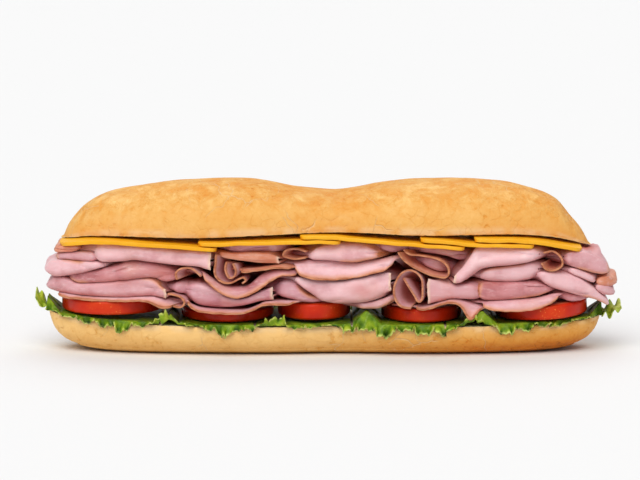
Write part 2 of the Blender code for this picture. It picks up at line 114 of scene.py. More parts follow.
CHEESE_THICK = 2.0
CHEESE_HALF_DEPTH = 41.0
CHEESE_CORNER = 4.0
CHEESE_ENDS = (-152.0, 150.0)
CHEESE_GRID = (84, 70)
CHEESE = [
    ("cheese_1", -147.5, -61, [(-147.5, 60.9), (-128, 63.3), (-100, 62.4), (-61, 59.9)]),
    ("cheese_2", -71, 6.5, [(-71, 62.8), (-60, 62.8), (-48, 63.3), (-16, 64.0), (6.5, 63.6)]),
    ("cheese_3", -15.5, 74, [(-15.5, 66.4), (2, 66.4), (15, 65.0), (50, 62.4), (74, 60.6)]),
    ("cheese_4", 50, 112, [(50, 65.2), (62, 64.4), (78, 62.6), (90, 62.2), (112, 61.2)]),
    ("cheese_5", 79.5, 138.5, [(79.5, 65.1), (98, 64.7), (112, 63.6), (124, 61.6), (138.5, 58.3)]),
]

TOMATO = [
    ("tomato_1", -119.5, 28.8, 32.0, 22.4, 7.6, 0.0),
    ("tomato_2", -56.0, 26.0, 33.5, 18.6, 5.4, 0.0),
    ("tomato_3", -8.0, 20.5, 31.8, 19.4, 9.2, 0.0),
    ("tomato_4", 51.5, 22.5, 33.5, 18.3, 7.4, 0.0),
    ("tomato_5", 118.0, 25.8, 32.5, 19.6, 8.0, -3.2),
]
TOMATO_STEPS = 120
TOMATO_ROUND = 1.5
TOMATO_RINGS = (0.3, 0.55, 0.75, 0.88)
TOMATO_UNEVEN = 0.012

LEAF_THICK = 0.55
LEAF_ROWS = 76
LEAF_STEP = 0.5
LEAF_LAP = 1.4
LEAF_ABOVE_CUT = 1.05
LEAF_FLAT_SHARE = 0.4
LEAF_DEPTH = 7.0
LOBE = 10.5
VEIN = 17.0

# Length of the leaf's waves, how much they wander and over what distance
LEAF_WAVES = [(LOBE, 1.3, 21), (4.4, 1.6, 9), (1.9, 1.4, 5)]

# Left end, right end and start of the waves
LETTUCE = [
    ("lettuce_1", -162.5, -93, 0.3),
    ("lettuce_2", -91.5, -41, 1.9),
    ("lettuce_3", -39.5, 12, 0.9),
    ("lettuce_4", 13.5, 63, 2.6),
    ("lettuce_5", 64.5, 121, 1.2),
    ("lettuce_6", 122.5, 162.5, 0.5),
]
SPRIG_RISE = (8.0, 2.0)
SPRIG_LENGTH = 7.5
SPRIG_CURL = 3.0

# Ham: how each slice lies, how far it stands out at the front, and its upper and lower outline
HAM_FOLDS = [
    ("ham_left_base", "flat", 0.6,
     [(-150, 32.2), (-138, 31.4), (-127, 31.1), (-112, 31.1), (-100, 31.7), (-94, 31), (-86.8, 28.8)], None),
    ("ham_left_low", "fold", 0.0,
     [(-156, 38.6), (-151, 41.2), (-146, 41.2), (-141, 38.9), (-135, 38.9), (-128, 39.5), (-115, 41.1),
      (-101, 42.5), (-97, 41.5), (-92, 38), (-89.8, 36.8)],
     [(-156, 34.6), (-150, 33.5), (-138, 32.8), (-128, 32.4), (-112, 32.4), (-100, 33), (-92, 32.6),
      (-89.8, 32.2)]),
    ("ham_left_middle", "fold", -1.0,
     [(-143.5, 43.5), (-137, 44.9), (-128, 46.8), (-118, 49.4), (-112, 51.7), (-105, 51.6), (-96, 50.4),
      (-86.2, 47.6)],
     [(-143.5, 40.6), (-139, 39.4), (-128, 40.2), (-115, 41.7), (-101, 43.5), (-97, 43.4), (-92, 41.7),
      (-86.2, 41.4)]),
    ("ham_left_tongue", "fold", 1.0,
     [(-157, 47.6), (-153.5, 50.4), (-146, 51.8), (-139, 51.2), (-126, 51.2)],
     [(-157, 44.2), (-152, 42.4), (-146, 43.3), (-143.5, 43.9), (-136, 45.7), (-128, 48), (-126, 48.3)]),
    ("ham_left_band", "fold", 0.5,
     [(-151, 54.6), (-145, 55.6), (-135, 56.5), (-129.6, 56.4)],
     [(-151, 51.7), (-146, 52.4), (-139, 52), (-129.6, 51.7)]),
    ("ham_left_top", "fold", 0.6,
     [(-128.9, 61.4), (-113, 61), (-99, 60), (-83, 58.8), (-64.5, 57.6)],
     [(-128.9, 51.9), (-125, 51.7), (-114, 52.5), (-109, 53.2), (-100, 52.4), (-86, 50.9), (-79, 50.4),
      (-73, 49.9), (-64.5, 48)]),
    ("ham_left_stub", "fold", 1.5,
     [(-152, 58.6), (-146, 59.3), (-140, 60)], [(-152, 55.5), (-146, 56.3), (-140, 56.9)]),
    ("ham_left_small", "fold", -2.0,
     [(-87.8, 39.4), (-84, 40.5), (-80.2, 40.4)], [(-87.8, 36.4), (-84, 35.2), (-80.2, 34)]),
    ("ham_drape_base", "flat", 1.2,
     [(-77, 30.4), (-74.9, 28), (-70.7, 26.1), (-61.3, 25.2), (-52.8, 25), (-46.5, 25.3), (-40.1, 27.7),
      (-36.5, 29.4), (-31.6, 29.8), (-25.2, 29.8), (-20.2, 29.8)], None),
    ("ham_drape", "fold", 0.0,
     [(-78.6, 39.8), (-74, 40), (-68.5, 39.2), (-64, 37.8), (-61, 35.8), (-57, 33), (-50.7, 31.7),
      (-44.3, 32.8), (-38, 36.1), (-31.4, 38.6)],
     [(-78.6, 33.8), (-74, 29.6), (-69.8, 28.2), (-59, 27.4), (-50.7, 27.9), (-44.3, 29.3), (-38.8, 30.8),
      (-31.4, 31.6)]),
    ("ham_sweep", "hang", 0.5,
     [(-69.3, 47.2), (-65, 43.4), (-61, 40.4), (-57, 38.7), (-50, 38.3), (-45, 39.3), (-40, 44),
      (-35.9, 46.4), (-29.5, 47.4), (-20.4, 47)],
     [(-69.3, 44.4), (-65.6, 40.9), (-61.3, 37), (-57, 34), (-50.7, 32.4), (-44.3, 33.6), (-38, 37),
      (-31.6, 41.6), (-25.2, 44.4), (-20.4, 44)]),
    ("ham_sweep_top", "flat", 0.4,
     [(-48.4, 47.4), (-44, 47.8), (-40, 48.2), (-31.6, 49.4), (-27, 49.9), (-21, 49)], None),
    ("ham_tube", "fold", 0.3,
     [(-60, 58), (-55, 56.9), (-49, 57), (-40, 57.2), (-33.7, 56.8), (-28, 54.6)],
     [(-60, 54.9), (-55, 54), (-50, 53.3), (-38, 52), (-28, 51.5)]),
    ("ham_back", "fold", -3.0,
     [(-58, 61.2), (-45, 61.7), (-29, 61.8)], [(-58, 58.2), (-49, 57.8), (-40, 57.9), (-29, 57.6)]),
    ("ham_wedge", "fold", -1.5,
     [(-30, 40.2), (-26, 41.6), (-22, 40.4), (-17, 35.8), (-12, 32.9), (-9, 32.1)],
     [(-30, 33.4), (-24, 32), (-16, 30.2), (-9, 29.2)]),
    ("ham_middle_top", "fold", 0.8,
     [(-11.6, 57.4), (-7, 60), (0, 61.6), (12, 62), (18, 61), (22, 59), (26, 57.5)],
     [(-11.6, 53.2), (-4, 53.2), (11, 52), (20, 53.5), (26, 54.5)]),
    ("ham_middle_tuck", "fold", -3.0,
     [(24.2, 62.2), (30, 61.9), (36.4, 61.2)], [(24.2, 59.2), (28, 58.2), (33, 57.6), (36.4, 58)]),
    ("ham_middle_band", "hang", 0.2,
     [(-19.6, 52), (-12, 52.6), (-4, 52.7), (11, 51.4), (20, 52.6), (26, 53.3), (33.5, 55.8)],
     [(-19.6, 47.8), (-17, 44.9), (-11.4, 42.8), (-0.8, 41.8), (6.4, 42.2), (20.2, 44.8), (30, 47.4),
      (33.5, 49.5)]),
    ("ham_middle_low", "fold", 0.9,
     [(-19, 44), (-11.4, 42.3), (-0.8, 41.3), (6.4, 41.6), (20.2, 44.2), (31, 46.6), (33, 46.2)],
     [(-19, 41.1), (-14, 37.2), (-9, 33.1), (-5, 30.4), (1, 29.4), (8, 29.3), (17, 30.1), (25, 32.4),
      (33, 36.6)]),
    ("ham_middle_base", "fold", -0.5,
     [(14, 29.1), (20, 29.3), (27, 31.2), (33.4, 34.2)], [(14, 26.2), (20, 26.2), (25, 26.4), (33.4, 30.8)]),
    ("ham_wave", "flat", 1.0,
     [(47.6, 27), (52.3, 27), (56, 27.9), (60.8, 29.6), (65.5, 30.8), (69.3, 30.6), (74.4, 28.9), (79.5, 27),
      (82, 26.6)], None),
    ("ham_right_pink", "fold", 0.2,
     [(53.4, 43.6), (60.8, 41.7), (68, 39.4), (71.4, 39.6), (77.4, 39.8), (80, 38.4)],
     [(53.4, 28.8), (60.8, 31), (65.5, 32.2), (69.3, 32.2), (75, 31.8), (80, 31.4)]),
    ("ham_loop_inner", "fold", -5.0,
     [(47.4, 54.4), (55, 53.4), (61.5, 50.6)], [(47.4, 51), (55, 47.4), (61.5, 45.8)]),
    ("ham_loop_back", "fold", -4.0,
     [(46.5, 60.6), (52, 60), (60, 59.2), (70.6, 57.8)],
     [(46.5, 57.6), (52, 57), (60, 55.9), (66, 54), (70.6, 52)]),
    ("ham_right_folded", "fold", 0.8,
     [(68.4, 44.6), (73, 50.2), (76.5, 55.4), (79.6, 60), (90, 60.2), (100, 59.8), (112, 59)],
     [(68.4, 41.2), (71.5, 41.2), (75.2, 43.8), (81.6, 48.6), (88, 50), (98, 50.8), (112, 53)]),
    ("ham_right_upper", "fold", -0.6,
     [(82, 46.2), (84, 47.5), (90, 48.9), (100, 49.8), (111, 51.4)],
     [(82, 42.4), (90, 41.4), (100, 41.2), (111, 43.4)]),
    ("ham_right_lower", "fold", 0.2,
     [(81, 41.4), (90, 40.6), (100, 40.4), (111, 40.1), (118, 37.9)],
     [(81, 31.6), (90, 31.4), (100, 31.8), (111, 33), (118, 35)]),
    ("ham_right_base", "hang", 1.6,
     [(84, 30.6), (92, 30.8), (105, 31.2), (114, 32.2), (123, 34.6)],
     [(84, 27), (92, 25.4), (100, 24.8), (108, 24.9), (114, 26), (123, 30.2)]),
    ("ham_right_under", "fold", -2.0,
     [(124.4, 35), (130, 33.3), (135.6, 32.2)], [(124.4, 31), (130, 29.6), (135.6, 29.3)]),
    ("ham_right_leaf", "fold", 0.8,
     [(113, 46.4), (118.5, 45.8), (125, 45.2), (133.5, 42.6), (142, 37), (149, 31.2), (153, 28.4)],
     [(113, 42.6), (118.1, 38.9), (124.7, 36.2), (133.5, 33.4), (142, 31), (149, 28), (153, 25.4)]),
    ("ham_right_inner", "fold", 0.0,
     [(130, 48.2), (138, 45.2), (144, 42.4)], [(130, 45), (138, 41.6), (144, 38.8)]),
    ("ham_right_top", "fold", 0.6,
     [(128, 57.4), (138, 56.2), (148, 52.4), (153, 48.2)], [(128, 50.2), (138, 46.6), (148, 44), (153, 44)]),
    ("ham_knob", "fold", 1.6,
     [(146, 41.6), (152, 42), (159, 40.6)], [(146, 37.4), (152, 36.8), (159, 37.2)]),
    ("ham_right_tail", "fold", 0.8,
     [(145.5, 38.2), (149.5, 37.4), (153, 36.4), (157, 34.2)],
     [(145.5, 34.8), (149.5, 32.6), (153, 31.7), (157, 30.9)]),
]
HAM_CURLS = [
    ("ham_hook", 1.0,
     [(-82.6, 42.6), (-83.4, 46), (-80.8, 48.7), (-76.6, 49.1), (-73.2, 47.6), (-69.9, 44.3)]),
    ("ham_left_lip", 1.0,
     [(-88.2, 35), (-84, 33.9), (-80.6, 32.4), (-79.2, 29.8), (-81.2, 27.4), (-85.2, 27.8)]),
    ("ham_curl", 0.0,
     [(-61.9, 56.4), (-62.4, 51), (-62.8, 46.6), (-60.8, 42.8), (-57.1, 40.9), (-53, 41.2), (-49.6, 42.8),
      (-46.6, 43.6), (-45.6, 42), (-47.4, 40.4)]),
    ("ham_curl_inner", 0.4,
     [(-55.8, 52.4), (-56.6, 48.2), (-54.6, 43.6), (-51.8, 44.4), (-50.8, 48), (-52.2, 51.4)]),
    ("ham_small_loop", 0.4,
     [(-13.4, 54.6), (-20, 54), (-25.6, 55.6), (-24, 58.8), (-18, 59.4), (-13.4, 58)]),
    ("ham_roll", 1.8,
     [(40.6, 43.6), (43.6, 39.2), (46.4, 34.8), (48.6, 30.8), (50.6, 31.6), (51.2, 36.5), (50.6, 43),
      (47.4, 47), (43, 48), (38.6, 45.2), (35.8, 39), (36.2, 32.4), (39.4, 28.2), (44.8, 27)]),
    ("ham_loop", 1.2,
     [(37.6, 57.8), (40.2, 54), (43.8, 51.1), (50, 47.6), (57, 44.8), (62.8, 43.8), (65.4, 46), (64.4, 50.6),
      (59.4, 54), (51, 55.9), (44.4, 56.6), (40.8, 59.2)]),
    ("ham_right_curl", 1.0,
     [(114.8, 51.2), (117, 47.8), (121.8, 47.2), (126, 49.6), (125.4, 54.4), (121, 57.6), (115.8, 56.8)]),
]
MAUVE_SLICES = ("ham_drape", "ham_back", "ham_loop_inner", "ham_loop_back", "ham_wedge", "ham_middle_tuck",
                "ham_right_under", "ham_left_small")
PALE_SLICES = ("ham_left_top", "ham_left_tongue", "ham_middle_top", "ham_middle_band", "ham_middle_low",
               "ham_right_leaf", "ham_right_folded", "ham_right_upper", "ham_curl_inner", "ham_right_inner",
               "ham_left_base")
ROSY_SLICES = ("ham_left_middle", "ham_sweep", "ham_right_lower")
TAN_SLICES = ("ham_tube", "ham_knob", "ham_small_loop", "ham_right_curl", "ham_left_stub", "ham_sweep_top",
              "ham_loop")

# Tints of ham as deep, plain and light, and the slices that have them; the rest are pink
HAM_TINTS = {
    "ham_pink": ((0.54, 0.215, 0.225), (0.69, 0.36, 0.38), (0.78, 0.48, 0.49)),
    "ham_mauve": ((0.45, 0.15, 0.185), (0.63, 0.30, 0.34), (0.72, 0.41, 0.44)),
    "ham_pale": ((0.66, 0.33, 0.35), (0.80, 0.48, 0.50), (0.87, 0.60, 0.61)),
    "ham_rosy": ((0.41, 0.125, 0.135), (0.57, 0.23, 0.24), (0.68, 0.35, 0.36)),
    "ham_tan": ((0.47, 0.135, 0.070), (0.66, 0.235, 0.130), (0.76, 0.37, 0.25)),
}
TINTED_SLICES = {
    "ham_mauve": MAUVE_SLICES,
    "ham_pale": PALE_SLICES,
    "ham_rosy": ROSY_SLICES,
    "ham_tan": TAN_SLICES,
}

# Sheets of ham: the thickness that the outlines allow for and that of the sheet as modelled
HAM_THICK = 1.3
HAM_THIN = 0.95
HAM_SOFT = 0.25
HAM_STEP = 1.15
HAM_SWELL = 0.3
HAM_LEAST = 1.2
BOW = 8.0
FAR = 20.0

# The inside, between the front and the back, which puffs up, spreads and closes the gaps that would show
PUFF_MOST = 9.0
PUFF_CLEAR = 1.4
PUFF_HALF_DEPTH = 19.0
INNER_SPREAD = (-16.0, 5.0)
INNER_SWELL = 0.7
INNER_CLOSE = 0.85
CLOSE_POWER = 12
PAST_ENDS = (135.0, 150.0)
# Where the painted shade deep inside the slices fades out towards the roll's ends
INSIDE_SHADE_ENDS = (138.0, 150.0)

# Folds at the front and the back, and how an end rounds over or, where it is cut, is pressed flat
FRONT_ROWS = 14
INNER_ROWS = 8
FOLD_DEPTH = 4.6
FOLD_ROUND = (0.40, 0.82)
FOLD_LEAN = 0.25
FOLD_SEAM = 0.15
HANG_DEPTH = 7.0
HANG_ROUND = (0.7, 0.8)
HANG_FLARE = 0.9
END_ROUND = 4.5
END_BACK = 2.6
MAUVE_END_BACK = 5.0
PRESS_REACH = 6.0
PRESS_SHARE = 0.7
LEAN_REACH = 9.0
FREE_REACH = 7.0
CREASE_DEPTH = 1.2
CREASE_WIDE = 0.16

# Slices that lie flat: the edge is pushed out, lifted and droops
FLAT_ROWS = 40
FLAT_EDGE = 3.4
FLAT_OUT = 1.9
FLAT_DROOP = 1.1
FLAT_LIFT = 0.4

# Curls narrow towards the inside
CURL_ROWS = 44
CURL_STEP = 0.7
CURL_FUNNEL = 0.16
CURL_CLOSE = 0.7
CURL_UNEVEN = 0.3

# How far a slice's front stands back for each mm below its top; below 0 its foot stands out
HAM_LEAN = {
    "ham_left_low": 0.12, "ham_left_middle": -0.20, "ham_right_folded": -0.26,
    "ham_right_upper": 0.05, "ham_right_lower": -0.12, "ham_right_top": -0.16, "ham_middle_low": -0.12,
    "ham_middle_top": -0.22, "ham_middle_band": -0.15, "ham_left_top": -0.22, "ham_left_tongue": -0.15,
    "ham_sweep": -0.20, "ham_drape": 0.12, "ham_right_pink": 0.10, "ham_right_base": -0.10,
}

# Where along X the edge of a flat slice hangs in a tip, how wide the tip is and how far it hangs
HAM_TIPS = {"ham_wave": (77.0, 3.4, 6.2), "ham_left_base": (-92.0, 6.0, 2.4)}

# Darker red patches of painted shade, mixed in like the shade inside: place along X, height, half width and
# half height
SHADE_PATCHES = [(18.5, 36.5, 9, 4.5), (86, 41, 8, 3.5), (-92, 46, 8, 4), (-117, 41, 12, 2.5), (131, 33, 9, 3),
         (-52, 29, 12, 2)]

# Slices with a rind at their left or right end
HAM_RIND_ENDS = {
    "ham_left_stub": (True, False),
    "ham_left_band": (True, False),
    "ham_right_top": (False, True),
    "ham_right_lower": (True, False),
    "ham_middle_top": (False, True),
    "ham_knob": (False, True),
}

# Slices with a rind along part of their upper (1) or lower (-1) outline: which, from x, to x
HAM_RIND_LINES = {
    "ham_left_low": (1, -106, -86), "ham_left_middle": (-1, -148, -132), "ham_left_tongue": (1, -150, -134),
    "ham_right_upper": (1, 78, 108), "ham_middle_top": (-1, 2, 30), "ham_right_leaf": (-1, 136, 156),
    "ham_wedge": (1, -22, -6), "ham_middle_base": (-1, 10, 36), "ham_tube": (-1, -62, -26),
    "ham_right_lower": (-1, 96, 120), "ham_right_top": (-1, 132, 154),
}

# Slices whose left or right end is a clean cut
HAM_CUT_ENDS = {
    "ham_left_top": (False, True),
    "ham_left_low": (False, True),
    "ham_middle_low": (False, True),
    "ham_tube": (False, True),
    "ham_right_folded": (True, False),
    "ham_drape": (False, True),
    "ham_right_pink": (True, False),
}


def along(points, x):
    """Height at x of a smooth line through the points, level past its ends."""
    if x <= points[0][0]:
        return points[0][1]
    if x >= points[-1][0]:
        return points[-1][1]
    last = len(points) - 1
    k = max(i for i in range(last) if points[i][0] <= x)

    def slope(i):
        a = points[max(i - 1, 0)]
        b = points[min(i + 1, last)]
        return (b[1] - a[1]) / (b[0] - a[0])

    (x0, z0), (x1, z1) = points[k], points[k + 1]
    step = x1 - x0
    t = (x - x0) / step
    rise = (2 * t ** 3 - 3 * t ** 2 + 1) * z0 + (3 * t ** 2 - 2 * t ** 3) * z1
    return rise + step * ((t ** 3 - 2 * t ** 2 + t) * slope(k) + (t ** 3 - t ** 2) * slope(k + 1))


def smooth(low, high, value):
    """0 below low, 1 above high, and a smooth rise between them."""
    t = min(max((value - low) / (high - low), 0.0), 1.0)
    return t * t * (3 - 2 * t)


def grainy(x, y, z, size, seed=0.0):
    """Smooth noise from -1 to 1 whose bumps are about size millimetres across."""
    return noise.noise(Vector((x / size + seed, y / size, z / size)))


def waist(x):
    return WAIST_DEPTH * math.exp(-(((x - WAIST_X) / WAIST_REACH) ** 2))


def blunt(x, left, right, power=3.0):
    """1 along the middle and 0 at the ends, with blunt round ends between."""
    u = abs(2 * (x - left) / (right - left) - 1)
    return (1 - min(u, 1.0) ** power) ** BLUNT_ROOT


def roll_half_depth(x, ends):
    return (ROLL_HALF_DEPTH - waist(x)) * blunt(x, *ends)


def bottom_cut(x):
    u = x / BOTTOM_CUT_HALF_LENGTH
    return BOTTOM_CUT_HEIGHT + BOTTOM_CUT_RISE * u ** 4 - BOTTOM_CUT_TILT * u ** 3


def fill_half_depth(x):
    return (FILL_HALF_DEPTH - waist(x)) * blunt(x, -FILL_END, FILL_END, FILL_BLUNT)


def bowed(x, y):
    """Slices of ham bow along X between their front and back edges, least at the roll's ends."""
    middle = 1 - min(abs(y) / FILL_HALF_DEPTH, 1.0) ** 2
    return x + BOW * middle * (1 - min(abs(x) / FILL_END, 1.0) ** 4)


def finish(name, shape, surfaces):
    """Turns a shape in millimetres into a piece that stands for the CAD node of its name."""
    bmesh.ops.scale(shape, vec=(MM, MM, MM), verts=shape.verts)
    mesh = bpy.data.meshes.new(name + "_fine")
    shape.to_mesh(mesh)
    shape.free()
    mesh.shade_smooth()
    for surface in surfaces:
        mesh.materials.append(surface)
    piece = bpy.data.objects.new(name + "_fine", mesh)
    bpy.context.scene.collection.objects.link(piece)
    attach(piece, "root")
    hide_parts(name)
    return piece


def thicken(piece, thick, soften):
    """Gives a sheet its thickness and takes the sharpness off its rim."""
    wall = piece.modifiers.new("Thickness", "SOLIDIFY")
    wall.thickness = thick * MM
    wall.offset = 0.0
    edge = piece.modifiers.new("Soft rim", "BEVEL")
    edge.width = soften * MM
    edge.segments = 2
    edge.profile = 0.5
    edge.material = -1
    edge.limit_method = "ANGLE"
    edge.angle_limit = math.radians(60)


def grid(shape, columns, rows):
    """Adds a grid and returns its vertices with their column and row shares from 0 to 1."""
    made = bmesh.ops.create_grid(shape, x_segments=columns, y_segments=rows, size=0.5)
    return [(vert, vert.co.x + 0.5, vert.co.y + 0.5) for vert in made["verts"]]


def crowded(side, power):
    """Moves places from -1 to 1 so that they lie closer together towards both edges."""
    return math.copysign(1 - (1 - abs(side)) ** power, side)


# Materials

def new_material(name):
    made = bpy.data.materials.new(name)
    made.use_nodes = True
    tree = made.node_tree
    return made, tree, tree.nodes["Principled BSDF"]


def add(tree, kind, **settings):
    node = tree.nodes.new(kind)
    for key, value in settings.items():
        setattr(node, key, value)
    return node


def noise_node(tree, place, scale, detail=3.0, roughness=0.55):
    node = add(tree, "ShaderNodeTexNoise")
    node.inputs["Scale"].default_value = scale
    node.inputs["Detail"].default_value = detail
    node.inputs["Roughness"].default_value = roughness
    tree.links.new(place, node.inputs["Vector"])
    return node.outputs["Fac"]


def ramp(tree, value, stops):
    """A colour ramp over a value, with its stops as (position, colour)."""
    node = add(tree, "ShaderNodeValToRGB")
    band = node.color_ramp
    while len(band.elements) > 1:
        band.elements.remove(band.elements[-1])
    band.elements[0].position = stops[0][0]
    band.elements[0].color = (*stops[0][1], 1.0)
    for position, colour in stops[1:]:
        band.elements.new(position).color = (*colour, 1.0)
    tree.links.new(value, node.inputs["Fac"])
    return node.outputs["Color"]


def mix(tree, factor, first, second, blend="MIX"):
    """Mixes two colours by a factor; each may be a socket or a plain colour."""
    node = add(tree, "ShaderNodeMix", data_type="RGBA", blend_type=blend)
    for socket, value in ((node.inputs[0], factor), (node.inputs[6], first), (node.inputs[7], second)):
        if isinstance(value, bpy.types.NodeSocket):
            tree.links.new(value, socket)
        elif isinstance(value, tuple):
            socket.default_value = (*value, 1.0)
        else:
            socket.default_value = value
    return node.outputs[2]


def sums(tree, operation, first, second, third=None):
    node = add(tree, "ShaderNodeMath", operation=operation)
    for socket, value in zip(node.inputs, (first, second, third)):
        if isinstance(value, bpy.types.NodeSocket):
            tree.links.new(value, socket)
        elif value is not None:
            socket.default_value = value
    return node.outputs[0]


def between(tree, value, low, high, start=0.0, end=1.0):
    node = add(tree, "ShaderNodeMapRange", interpolation_type="SMOOTHSTEP")
    tree.links.new(value, node.inputs["Value"])
    node.inputs["From Min"].default_value = low
    node.inputs["From Max"].default_value = high
    node.inputs["To Min"].default_value = start
    node.inputs["To Max"].default_value = end
    return node.outputs["Result"]


def bump(tree, shader, height, strength, distance):
    node = add(tree, "ShaderNodeBump")
    node.inputs["Strength"].default_value = strength
    node.inputs["Distance"].default_value = distance
    tree.links.new(height, node.inputs["Height"])
    tree.links.new(node.outputs["Normal"], shader.inputs["Normal"])


def attribute(tree, name):
    return add(tree, "ShaderNodeAttribute", attribute_name=name).outputs["Fac"]


def object_place(tree):
    return add(tree, "ShaderNodeTexCoord").outputs["Object"]


def bent_place(tree, place, scale, reach):
    """Coordinates pushed about by soft noise, so that lines drawn with them wander."""
    node = add(tree, "ShaderNodeTexNoise")
    node.inputs["Scale"].default_value = scale
    tree.links.new(place, node.inputs["Vector"])
    push = add(tree, "ShaderNodeVectorMath", operation="MULTIPLY_ADD")
    tree.links.new(node.outputs["Color"], push.inputs[0])
    push.inputs[1].default_value = (reach, reach, reach)
    tree.links.new(place, push.inputs[2])
    return push.outputs["Vector"]


def thin_lines(tree, place, scale, width):
    """1 on the borders of a net of cells and 0 away from them."""
    cells = add(tree, "ShaderNodeTexVoronoi", feature="DISTANCE_TO_EDGE")
    cells.inputs["Scale"].default_value = scale
    tree.links.new(place, cells.inputs["Vector"])
    return between(tree, cells.outputs["Distance"], 0.0, width, 1.0, 0.0)


def crust_material():
    """Soft golden crust: toasted by its tone attribute, which also carries painted shade, with fine wrinkles,
    pits and pale flaked cracks.
    """
    made, tree, shader = new_material("crust_baked")
    place = object_place(tree)
    blotches = noise_node(tree, place, 34.0, 5.0, 0.6)
    fine = noise_node(tree, place, 520.0, 4.0, 0.65)
    grain = noise_node(tree, place, 150.0, 5.0, 0.65)
    bent = bent_place(tree, place, 60.0, 0.012)
    wrinkles = thin_lines(tree, bent, 165.0, 0.10)
    wrinkles = sums(tree, "MULTIPLY", wrinkles, between(tree, grain, 0.42, 0.62))
    upright = add(tree, "ShaderNodeMapping")
    upright.inputs["Scale"].default_value = (1.5, 1.5, 0.55)
    tree.links.new(bent_place(tree, place, 70.0, 0.016), upright.inputs["Vector"])
    cracks = thin_lines(tree, upright.outputs["Vector"], 34.0, 0.016)
    cracks = sums(tree, "MULTIPLY", cracks, between(tree, noise_node(tree, place, 30.0, 2.0), 0.52, 0.58))
    peel = noise_node(tree, bent_place(tree, place, 90.0, 0.010), 115.0, 6.0, 0.7)
    peel = sums(tree, "MULTIPLY", between(tree, peel, 0.30, 0.70, -0.5, 0.5), attribute(tree, "peeling"))
    pits = between(tree, noise_node(tree, place, 300.0, 2.0, 0.5), 0.60, 0.70)
    pits = sums(tree, "MULTIPLY", pits, between(tree, noise_node(tree, place, 20.0, 1.0), 0.50, 0.62))
    tone = sums(tree, "ADD", attribute(tree, "tone"), sums(tree, "MULTIPLY_ADD", blotches, 0.34, -0.17))
    tone = sums(tree, "ADD", tone, sums(tree, "MULTIPLY_ADD", fine, 0.22, -0.11))
    tone = sums(tree, "ADD", tone, sums(tree, "MULTIPLY_ADD", grain, 0.20, -0.10))
    tone = sums(tree, "ADD", tone, sums(tree, "MULTIPLY", wrinkles, 0.08))
    tone = sums(tree, "ADD", tone, sums(tree, "MULTIPLY", pits, 0.16))
    tone = sums(tree, "SUBTRACT", tone, sums(tree, "MULTIPLY", peel, 0.42))
    colour = ramp(tree, tone, CRUST_TONES)
    pale = sums(tree, "MAXIMUM", attribute(tree, "pale"), sums(tree, "MULTIPLY", cracks, 0.45))
    colour = mix(tree, pale, colour, (0.86, 0.62, 0.36))
    tree.links.new(colour, shader.inputs["Base Color"])
    tree.links.new(between(tree, blotches, 0.3, 0.7, 0.52, 0.68), shader.inputs["Roughness"])
    shader.inputs["Specular IOR Level"].default_value = 0.2
    relief = sums(tree, "ADD", sums(tree, "MULTIPLY", grain, 0.8), sums(tree, "MULTIPLY", fine, 0.5))
    relief = sums(tree, "SUBTRACT", relief, sums(tree, "MULTIPLY", wrinkles, 0.5))
    relief = sums(tree, "SUBTRACT", relief, sums(tree, "MULTIPLY", pits, 0.8))
    relief = sums(tree, "SUBTRACT", relief, sums(tree, "MULTIPLY", cracks, 1.6))
    relief = sums(tree, "ADD", relief, sums(tree, "MULTIPLY", peel, 2.2))
    bump(tree, shader, relief, 0.45, 0.0008)
    return made


def crumb_material():
    """The cut faces: pale, open crumb with pores, painted darker towards their middles as shade."""
    made, tree, shader = new_material("crumb")
    place = object_place(tree)
    cells = add(tree, "ShaderNodeTexVoronoi", feature="SMOOTH_F1")
    cells.inputs["Scale"].default_value = 420.0
    tree.links.new(place, cells.inputs["Vector"])
    pores = cells.outputs["Distance"]
    # Painted shade: darker towards the middle of each pore
    colour = ramp(tree, pores, [
        (0.0, (0.66, 0.47, 0.24)),
        (0.45, (0.90, 0.76, 0.52)),
        (1.0, (0.95, 0.84, 0.62)),
    ])
    tree.links.new(colour, shader.inputs["Base Color"])
    tree.links.new(between(tree, pores, 0.1, 0.6, 0.75, 0.9), shader.inputs["Roughness"])
    bump(tree, shader, pores, 0.6, 0.001)
    return made


def cheese_material():
    made, tree, shader = new_material("cheese_sliced")
    place = object_place(tree)
    cloud = noise_node(tree, place, 60.0, 3.0)
    colour = mix(tree, between(tree, cloud, 0.3, 0.7), (0.86, 0.40, 0.006), (0.91, 0.46, 0.014))
    tree.links.new(colour, shader.inputs["Base Color"])
    sheen = between(tree, noise_node(tree, place, 500.0), 0.3, 0.7, 0.34, 0.48)
    tree.links.new(sheen, shader.inputs["Roughness"])
    shader.inputs["Specular IOR Level"].default_value = 0.3
    shader.inputs["Subsurface Weight"].default_value = 0.12
    shader.inputs["Subsurface Radius"].default_value = (0.004, 0.002, 0.0006)
    bump(tree, shader, noise_node(tree, place, 300.0, 4.0), 0.12, 0.0004)
    return made


def tomato_skin_material():
    made, tree, shader = new_material("tomato_skin")
    place = object_place(tree)
    blotches = noise_node(tree, place, 55.0, 3.0)
    fine = noise_node(tree, place, 900.0, 2.0)
    colour = ramp(tree, blotches, [
        (0.3, (0.42, 0.010, 0.002)),
        (0.5, (0.57, 0.021, 0.003)),
        (0.72, (0.66, 0.048, 0.005)),
    ])
    # Painted highlight: small lighter orange specks where the skin is brightest
    glint_specks = sums(tree, "MULTIPLY", between(tree, fine, 0.62, 0.7), between(tree, blotches, 0.5, 0.7))
    colour = mix(tree, glint_specks, colour, (0.86, 0.26, 0.05))
    tree.links.new(colour, shader.inputs["Base Color"])
    tree.links.new(between(tree, blotches, 0.3, 0.7, 0.26, 0.38), shader.inputs["Roughness"])
    shader.inputs["Subsurface Weight"].default_value = 0.08
    shader.inputs["Subsurface Radius"].default_value = (0.003, 0.0006, 0.0003)
    shader.inputs["Specular IOR Level"].default_value = 0.2
    bump(tree, shader, fine, 0.08, 0.0003)
    return made


